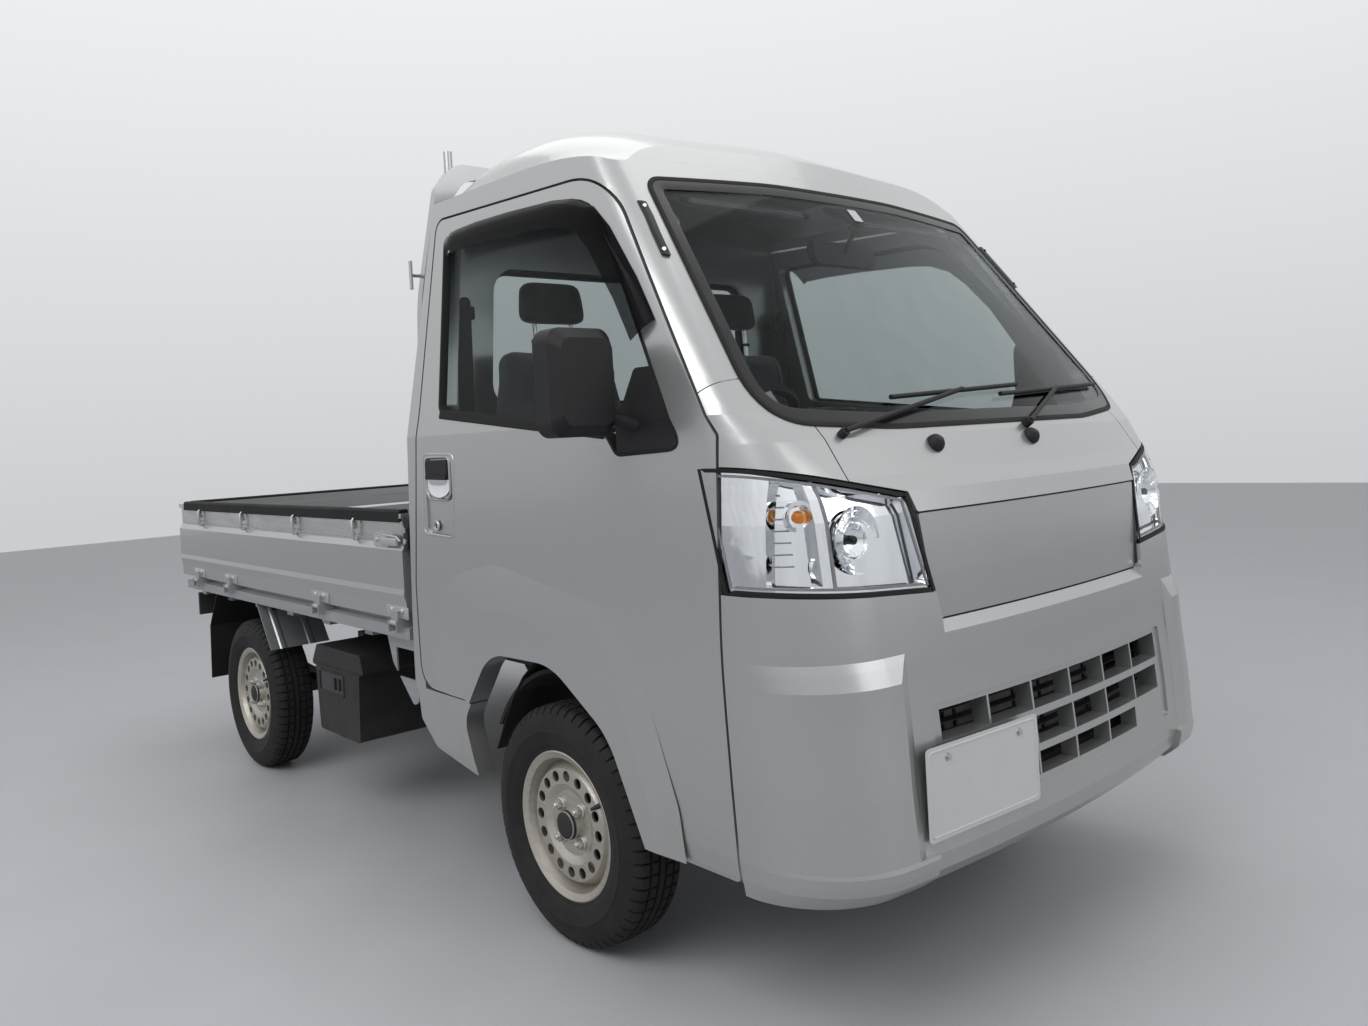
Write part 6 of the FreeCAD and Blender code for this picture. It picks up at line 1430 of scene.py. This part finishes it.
def make_belt(hand, side_name):
    """A seat belt that hangs from its upper guide to the floor, and the buckle beside the seat."""
    bm = bmesh.new()
    web = [(-23, -0.6), (23, -0.6), (23, 0.6), (-23, 0.6)]
    spots = [(0.402, hand * 0.606, 1.452), (0.404, hand * 0.610, 1.300), (0.405, hand * 0.618, 1.050),
             (0.404, hand * 0.626, 0.860), (0.402, hand * 0.630, 0.800)]
    run_section(bm, spots, web, AHEAD)
    side_block(bm, hand, (0.396, 0.575, 1.440), (0.412, 0.637, 1.476), 0.006, 1)
    guide = [(16, -2), (16, 7), (11, 11), (0, 12)]
    turn_profile(bm, guide, (0.408, hand * 0.606, 1.482), AHEAD, 24, 1)
    side_block(bm, hand, (0.398, 0.596, 0.985), (0.414, 0.632, 1.030), 0.005, 1)
    side_block(bm, hand, (0.500, 0.060, 0.800), (0.535, 0.086, 0.905), 0.007, 1)
    side_block(bm, hand, (0.506, 0.065, 0.896), (0.529, 0.081, 0.910), 0.003, 2)
    make_piece("seat_belt_" + side_name, bm, "chassis", [BELT_WEB, BLACK_PLASTIC, BUCKLE_RED])


# how far the dashboard's face leans forward over its height
DASH_LEAN = 0.042 / 0.143
dash_face = flat_face((1.283 - 0.948 * DASH_LEAN, 0, 0), LEFT, (DASH_LEAN, 0, 1), (-0.959, 0, 0.282))


def make_dashboard_details():
    """Instrument hood and dial, air vents, radio, heater knobs and the glovebox lid."""
    bm = bmesh.new()
    driver = STEERING_HUB.y
    hood = []
    for step in range(17):
        angle = math.pi * step / 16
        hood.append(Vector((driver + 0.165 * math.cos(angle), 1.070 + 0.075 * math.sin(angle))))
    section = [(0, 50), (4, 50), (6, 0), (4, -70), (0, -70)]
    trim_band(bm, hood, flat_face((1.330, 0, 0), LEFT, UP, BACK), section, closed=False)
    dial = [(70, 0), (68, 6), (62, 8), (60, 2), (0, 2)]
    turn_profile(bm, dial, (1.335, driver, 1.085), (-1, 0, 0.2), 40, 1)
    frame_section = [(3, -1), (2, 5), (-3, 5), (-4, -1)]
    slat = [(-4, -0.8), (4, -1.4), (4, 1.4), (-4, 0.8)]
    for low, high in ((-0.585, -0.525), (-0.105, -0.015), (0.015, 0.105), (0.525, 0.585)):
        trim_band(bm, rounded_box(low, high, 1.022, 1.076, 0.008), dash_face, frame_section)
        for row in range(4):
            level = 1.031 + row * 0.0115
            spots = [dash_face((low + 0.004, level), 0.002), dash_face((high - 0.004, level), 0.002)]
            run_section(bm, spots, slat, UP, tint=1)
    cut_plate(bm, rounded_box(-0.092, 0.092, 0.962, 1.012, 0.004), dash_face, -0.001, 0.004, 1)
    for out in (-0.070, 0.070):
        button = [(11, 0), (10, 13), (0, 14)]
        turn_profile(bm, button, dash_face((out, 0.987), 0.003), (-0.96, 0, 0.28), 24, 1)
    for out in (-0.045, 0.0, 0.045):
        knob = [(16, 0), (15.5, 10), (13, 14), (0, 14.5)]
        turn_profile(bm, knob, dash_face((out, 0.925)), (-0.96, 0, 0.1), 28, 1)
    lid = [(3, -1), (1, 2.2), (-1, 2.2), (-3, -1)]
    trim_band(bm, rounded_box(0.165, 0.500, 0.960, 1.075, 0.014), dash_face, lid)
    low = dash_face((0.310, 1.050), 0.0005) - Vector((0.006, 0, 0.008))
    high = dash_face((0.355, 1.050)) + Vector((0.004, 0, 0.008))
    soft_block(bm, low, high, 0.003, 1)
    make_piece("dashboard_details", bm, "chassis", [DASH_GREY, GLOSS_BLACK])


def make_steering_pad():
    """The pad in the middle of the steering wheel."""
    bm = bmesh.new()
    lean = Vector((-math.sin(COLUMN_LEAN), 0, math.cos(COLUMN_LEAN)))
    pad = [(70, -10), (78, 2), (76, 14), (62, 26), (30, 31), (0, 32)]
    turn_profile(bm, pad, STEERING_HUB, lean, 48, 0)
    for ring in (52, 66):
        turn_profile(bm, [(ring, 24), (ring + 2, 29.5), (ring + 4, 20)], STEERING_HUB, lean, 48, 0)
    make_piece("steering_wheel_pad", bm, "steering_wheel", [BLACK_PLASTIC])


def make_pedals():
    """Clutch, brake and throttle pedals with ribbed rubbers."""
    bm = bmesh.new()
    for out, wide in ((-0.425, 0.030), (-0.280, 0.034), (-0.215, 0.022)):
        spots = [(1.400, out, 0.800), (1.375, out, 0.720), (1.320, out, 0.640), (1.300, out, 0.618)]
        run_section(bm, spots, round_section(6, 10), LEFT)
        soft_block(bm, (1.288, out - wide, 0.588), (1.304, out + wide, 0.648), 0.005, 1)
        for row in range(4):
            level = 0.598 + row * 0.013
            ends = [(1.2872, out - wide * 0.8, level), (1.2872, out + wide * 0.8, level)]
            run_section(bm, ends, round_section(1.8, 6), UP, tint=1)
    make_piece("pedals", bm, "chassis", [FRAME_BLACK, SOFT_RUBBER])


def make_gear_lever():
    """The gear lever with its knob and its folded boot."""
    bm = bmesh.new()
    stick = [(0.985, 0.0, 0.690), (0.975, 0.0, 0.800), (0.965, -0.008, 0.935)]
    run_section(bm, stick, round_section(6.5, 12), LEFT)
    knob = [(0, -4), (12, 0), (20, 14), (22.5, 28), (19, 40), (10, 47), (0, 48)]
    turn_profile(bm, knob, (0.965, -0.008, 0.932), (-0.07, -0.03, 1), 28, 1)
    folds = [(62, 0), (60, 6), (50, 12), (53, 18), (42, 25), (45, 31),
             (32, 40), (34, 46), (20, 58), (12, 66), (8, 70)]
    turn_profile(bm, folds, (0.985, 0.0, 0.668), (-0.08, 0, 1), 32, 2)
    make_piece("gear_lever", bm, "chassis", [FRAME_BLACK, GLOSS_BLACK, SOFT_RUBBER])


def make_parking_brake():
    """The parking brake's lever, grip and button between the seats."""
    bm = bmesh.new()
    along = (0.917, 0, 0.398)
    spots = [(0.560, -0.040, 0.765), (0.660, -0.040, 0.800), (0.780, -0.040, 0.852)]
    run_section(bm, spots, [(-10, -12), (10, -12), (10, 12), (-10, 12)], UP)
    grip = [(0, 0), (14, 2), (16.5, 20), (15.5, 80), (16.5, 100), (10, 108), (0, 109)]
    turn_profile(bm, grip, (0.735, -0.040, 0.833), along, 24, 0)
    button = [(7.5, 0), (7.5, 12), (5, 15), (0, 15)]
    turn_profile(bm, button, (0.834, -0.040, 0.876), along, 20, 1)
    make_piece("parking_brake", bm, "chassis", [BLACK_PLASTIC, GLOSS_BLACK])


def make_inner_mirror():
    """The inner mirror on its stalk."""
    bm = bmesh.new()
    centre = Vector((1.150, 0.0, 1.520))
    place = flat_face(centre, LEFT, (-0.18, 0, 1), (-0.97, 0, 0))
    line = rounded_line([(-0.110, -0.028, 0.016), (0.110, -0.028, 0.016), (0.116, 0.028, 0.020),
                         (-0.116, 0.028, 0.020)])
    cut_plate(bm, line, place, -0.018, 0.0, 0)
    trim_band(bm, line, place, [(0, -18), (2, -10), (2, 2), (-5, 3), (-6, 0)])
    cut_plate(bm, [point * 0.94 for point in line], place, -0.002, 0.0012, 1)
    stalk = [centre + Vector((0.016, 0, 0.004)), (1.185, 0, 1.555), glass_spot((0.0, 1.580), -0.010)]
    run_section(bm, stalk, round_section(6, 12), LEFT)
    foot = [(18, 0), (17, 6), (10, 10), (0, 10)]
    turn_profile(bm, foot, glass_spot((0.0, 1.580), -0.0085), (-0.8, 0, -0.6), 24, 0)
    make_piece("inner_mirror", bm, "chassis", [BLACK_PLASTIC, CHROME])


def make_sun_visor(hand, side_name):
    """A cloth sun visor on its rod."""
    bm = bmesh.new()
    place = flat_face((1.075, 0, 1.640), (0, hand, 0), (0.88, 0, -0.47), (0.47, 0, 0.88))
    shade = rounded_line([(0.110, -0.070, 0.022), (0.480, -0.070, 0.030), (0.500, 0.070, 0.030),
                          (0.105, 0.070, 0.022)])
    cut_plate(bm, shade, place, -0.008, 0.006, 0)
    trim_band(bm, shade, place, [(0, -8), (6, -1), (0, 6)])
    rod = [place(Vector((0.090, 0.066))), place(Vector((0.500, 0.066)))]
    run_section(bm, rod, round_section(5.5, 12), UP, tint=1)
    make_piece("sun_visor_" + side_name, bm, "chassis", [HEADLINER, BLACK_PLASTIC])


# forward, height of the lining from the back to the windshield's top
ROOF_ROWS = [(0.480, 1.802), (0.560, 1.829), (0.679, 1.832), (0.850, 1.798), (0.970, 1.760), (1.080, 1.690)]


def make_headliner():
    """The cloth lining under the roof, with its seams, and the dome lamp."""
    bm = bmesh.new()

    def spot(column, row):
        place = row / 24 * (len(ROOF_ROWS) - 1)
        index = min(int(place), len(ROOF_ROWS) - 2)
        part = place - index
        x = ROOF_ROWS[index][0] * (1 - part) + ROOF_ROWS[index + 1][0] * part
        z = ROOF_ROWS[index][1] * (1 - part) + ROOF_ROWS[index + 1][1] * part
        out = -0.50 + column / 20
        drop = 0.030 * (abs(out) / 0.50) ** 2.4
        seam = 0.0025 if column in (5, 15) or row in (8, 16) else 0.0
        return Vector((x, out, z - 0.012 - drop - seam))

    sheet_patch(bm, spot, 20, 24, 0)
    lamp = Vector((0.720, 0.0, 1.798))
    soft_block(bm, lamp - Vector((0.035, 0.060, 0.012)), lamp + Vector((0.035, 0.060, 0.012)), 0.006, 1)
    make_piece("headliner", bm, "chassis", [HEADLINER, WHITE_PLATE])


def make_door_trim(hand, side_name):
    """The inner lining of one door with its armrest, window crank and inner handle."""
    bm = bmesh.new()
    inward = Vector((0, -hand, 0))
    place = flat_face((0, hand * DOOR_INNER, 0), AHEAD, UP, inward)
    line = rounded_line([(0.420, 0.690, 0.030), (1.340, 0.720, 0.060), (1.350, 1.045, 0.030),
                         (1.140, 1.055, 0.030), (1.100, 1.095, 0.030), (0.430, 1.150, 0.030)])
    cut_plate(bm, line, place, -0.0008, 0.0040, 0)
    trim_band(bm, line, place, [(0, -0.8), (2.8, 1), (0, 5.2), (-6, 4.6)])
    side_block(bm, hand, (0.560, 0.640, 0.880), (0.860, 0.684, 0.925), 0.012, 1)
    crank = Vector((1.020, hand * 0.680, 0.860))
    turn_profile(bm, [(24, -1), (22, 10), (12, 16), (0, 17)], crank, inward, 28, 1)
    arm = [crank + Vector((back, 0, down)) + inward * lift
           for back, down, lift in ((0, 0, 0.012), (-0.050, -0.035, 0.020), (-0.085, -0.058, 0.024))]
    run_section(bm, arm, round_section(6.5, 10), LEFT, tint=1)
    knob = [(0, -2), (9.5, 0), (11, 12), (8.5, 24), (0, 25)]
    turn_profile(bm, knob, crank + Vector((-0.085, 0, -0.058)) + inward * 0.020, inward, 20, 1)
    bezel = [(4, 3), (2, 9), (-3, 8), (-4, 3)]
    trim_band(bm, rounded_box(0.905, 1.015, 0.965, 1.010, 0.012), place, bezel, tint=1)
    side_block(bm, hand, (0.918, 0.672, 0.976), (1.000, 0.681, 0.999), 0.004, 2)
    make_piece("door_trim_" + side_name, bm, "door_" + side_name, [TRIM_GREY, BLACK_PLASTIC, CHROME])


for cab_side in SIDES:
    make_seat(*cab_side)
    make_belt(*cab_side)
    make_door_trim(*cab_side)
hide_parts("seat_cushions")
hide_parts("seat_backs")
make_dashboard_details()
make_steering_pad()
make_pedals()
make_gear_lever()
make_parking_brake()
make_inner_mirror()
for visor_side in SIDES:
    make_sun_visor(*visor_side)
make_headliner()


# Studio, lights and camera

CAMERA_PLACE = Vector((2.7465, -2.0246, 1.1094))
CAMERA_YAW = 2.44926
CAMERA_PITCH = -0.01213
CAMERA_ROLL = -0.05526
FOCAL_PIXELS = 1039.5
PHOTO_WIDTH = 1368
PHOTO_HEIGHT = 1026
CENTRE_PIXEL = (627.06, 450.82)
SENSOR_WIDTH = 36.0
FLOOR_REACH = 14.0


def place_camera():
    """Stand the camera where the photograph was taken."""
    data = bpy.data.cameras.new("photo_camera")
    camera = bpy.data.objects.new("photo_camera", data)
    bpy.context.scene.collection.objects.link(camera)
    ahead = Vector((
        math.cos(CAMERA_YAW) * math.cos(CAMERA_PITCH),
        math.sin(CAMERA_YAW) * math.cos(CAMERA_PITCH),
        math.sin(CAMERA_PITCH),
    ))
    level = Vector((math.sin(CAMERA_YAW), -math.cos(CAMERA_YAW), 0))
    upright = level.cross(ahead)
    right = level * math.cos(CAMERA_ROLL) + upright * math.sin(CAMERA_ROLL)
    up = upright * math.cos(CAMERA_ROLL) - level * math.sin(CAMERA_ROLL)
    turn = Matrix((right, up, -ahead)).transposed()
    camera.matrix_world = Matrix.Translation(CAMERA_PLACE) @ turn.to_4x4()
    data.sensor_width = SENSOR_WIDTH
    data.lens = FOCAL_PIXELS * SENSOR_WIDTH / PHOTO_WIDTH
    data.shift_x = (PHOTO_WIDTH / 2 - CENTRE_PIXEL[0]) / PHOTO_WIDTH
    data.shift_y = (CENTRE_PIXEL[1] - PHOTO_HEIGHT / 2) / PHOTO_WIDTH
    data.clip_end = 100
    bpy.context.scene.camera = camera


def soft_light(name, place, aim, size, power):
    """Hang a large soft lamp."""
    data = bpy.data.lights.new(name, "AREA")
    data.shape = "RECTANGLE"
    data.size, data.size_y = size
    data.energy = power
    lamp = bpy.data.objects.new(name, data)
    bpy.context.scene.collection.objects.link(lamp)
    way = (Vector(aim) - Vector(place)).to_track_quat("-Z", "Y")
    lamp.matrix_world = Matrix.Translation(Vector(place)) @ way.to_matrix().to_4x4()


def make_studio():
    """A pale floor, a pale surround and three soft lamps."""
    scene = bpy.context.scene
    scene.view_settings.view_transform = "Standard"
    world = bpy.data.worlds.new("studio")
    scene.world = world
    world.use_nodes = True
    tree = world.node_tree
    backdrop = tree.nodes["Background"]
    place = tree.nodes.new("ShaderNodeTexCoord").outputs["Generated"]
    split = add_node(tree, "ShaderNodeSeparateXYZ")
    join(tree, place, split.inputs[0])
    height = mapped(tree, split.outputs["Z"], -0.05, 0.55)
    pale = blend_colours(tree, height, (0.60, 0.61, 0.63), (0.95, 0.96, 0.97))
    dim = blend_colours(tree, height, (0.26, 0.27, 0.29), (0.90, 0.92, 0.95))
    path = tree.nodes.new("ShaderNodeLightPath")
    seen = math_node(tree, "MAXIMUM", path.outputs["Is Camera Ray"], path.outputs["Is Transmission Ray"])
    seen = math_node(tree, "MAXIMUM", seen, path.outputs["Is Glossy Ray"])
    join(tree, blend_colours(tree, seen, dim, pale), backdrop.inputs["Color"])
    join(tree, blend_values(tree, seen, 0.55, 1.0), backdrop.inputs["Strength"])
    mesh = bpy.data.meshes.new("floor")
    corners = [(-FLOOR_REACH, -FLOOR_REACH, 0), (FLOOR_REACH, -FLOOR_REACH, 0), (FLOOR_REACH, FLOOR_REACH, 0),
               (-FLOOR_REACH, FLOOR_REACH, 0)]
    mesh.from_pydata(corners, [], [(0, 1, 2, 3)])
    floor = bpy.data.objects.new("floor", mesh)
    scene.collection.objects.link(floor)
    material, floor_tree, shader = start_material("studio_floor", Specular_IOR_Level=0.3)
    tone = mapped(floor_tree, noise_on(floor_tree, object_place(floor_tree), 2.0), 0.3, 0.7)
    colour = blend_colours(floor_tree, tone, (0.50, 0.51, 0.53), (0.54, 0.55, 0.57))
    finish(floor_tree, shader, colour, blend_values(floor_tree, tone, 0.5, 0.6))
    mesh.materials.append(material)
    soft_light("key_lamp", (1.5, -4.0, 4.2), (0.3, 0, 0.8), (4.5, 3.0), 108)
    soft_light("fill_lamp", (5.0, 1.0, 2.6), (0.8, 0, 0.8), (3.0, 3.0), 40)
    soft_light("top_lamp", (-0.5, 0.6, 4.8), (-0.2, 0, 0.6), (5.0, 3.0), 40)


place_camera()
make_studio()
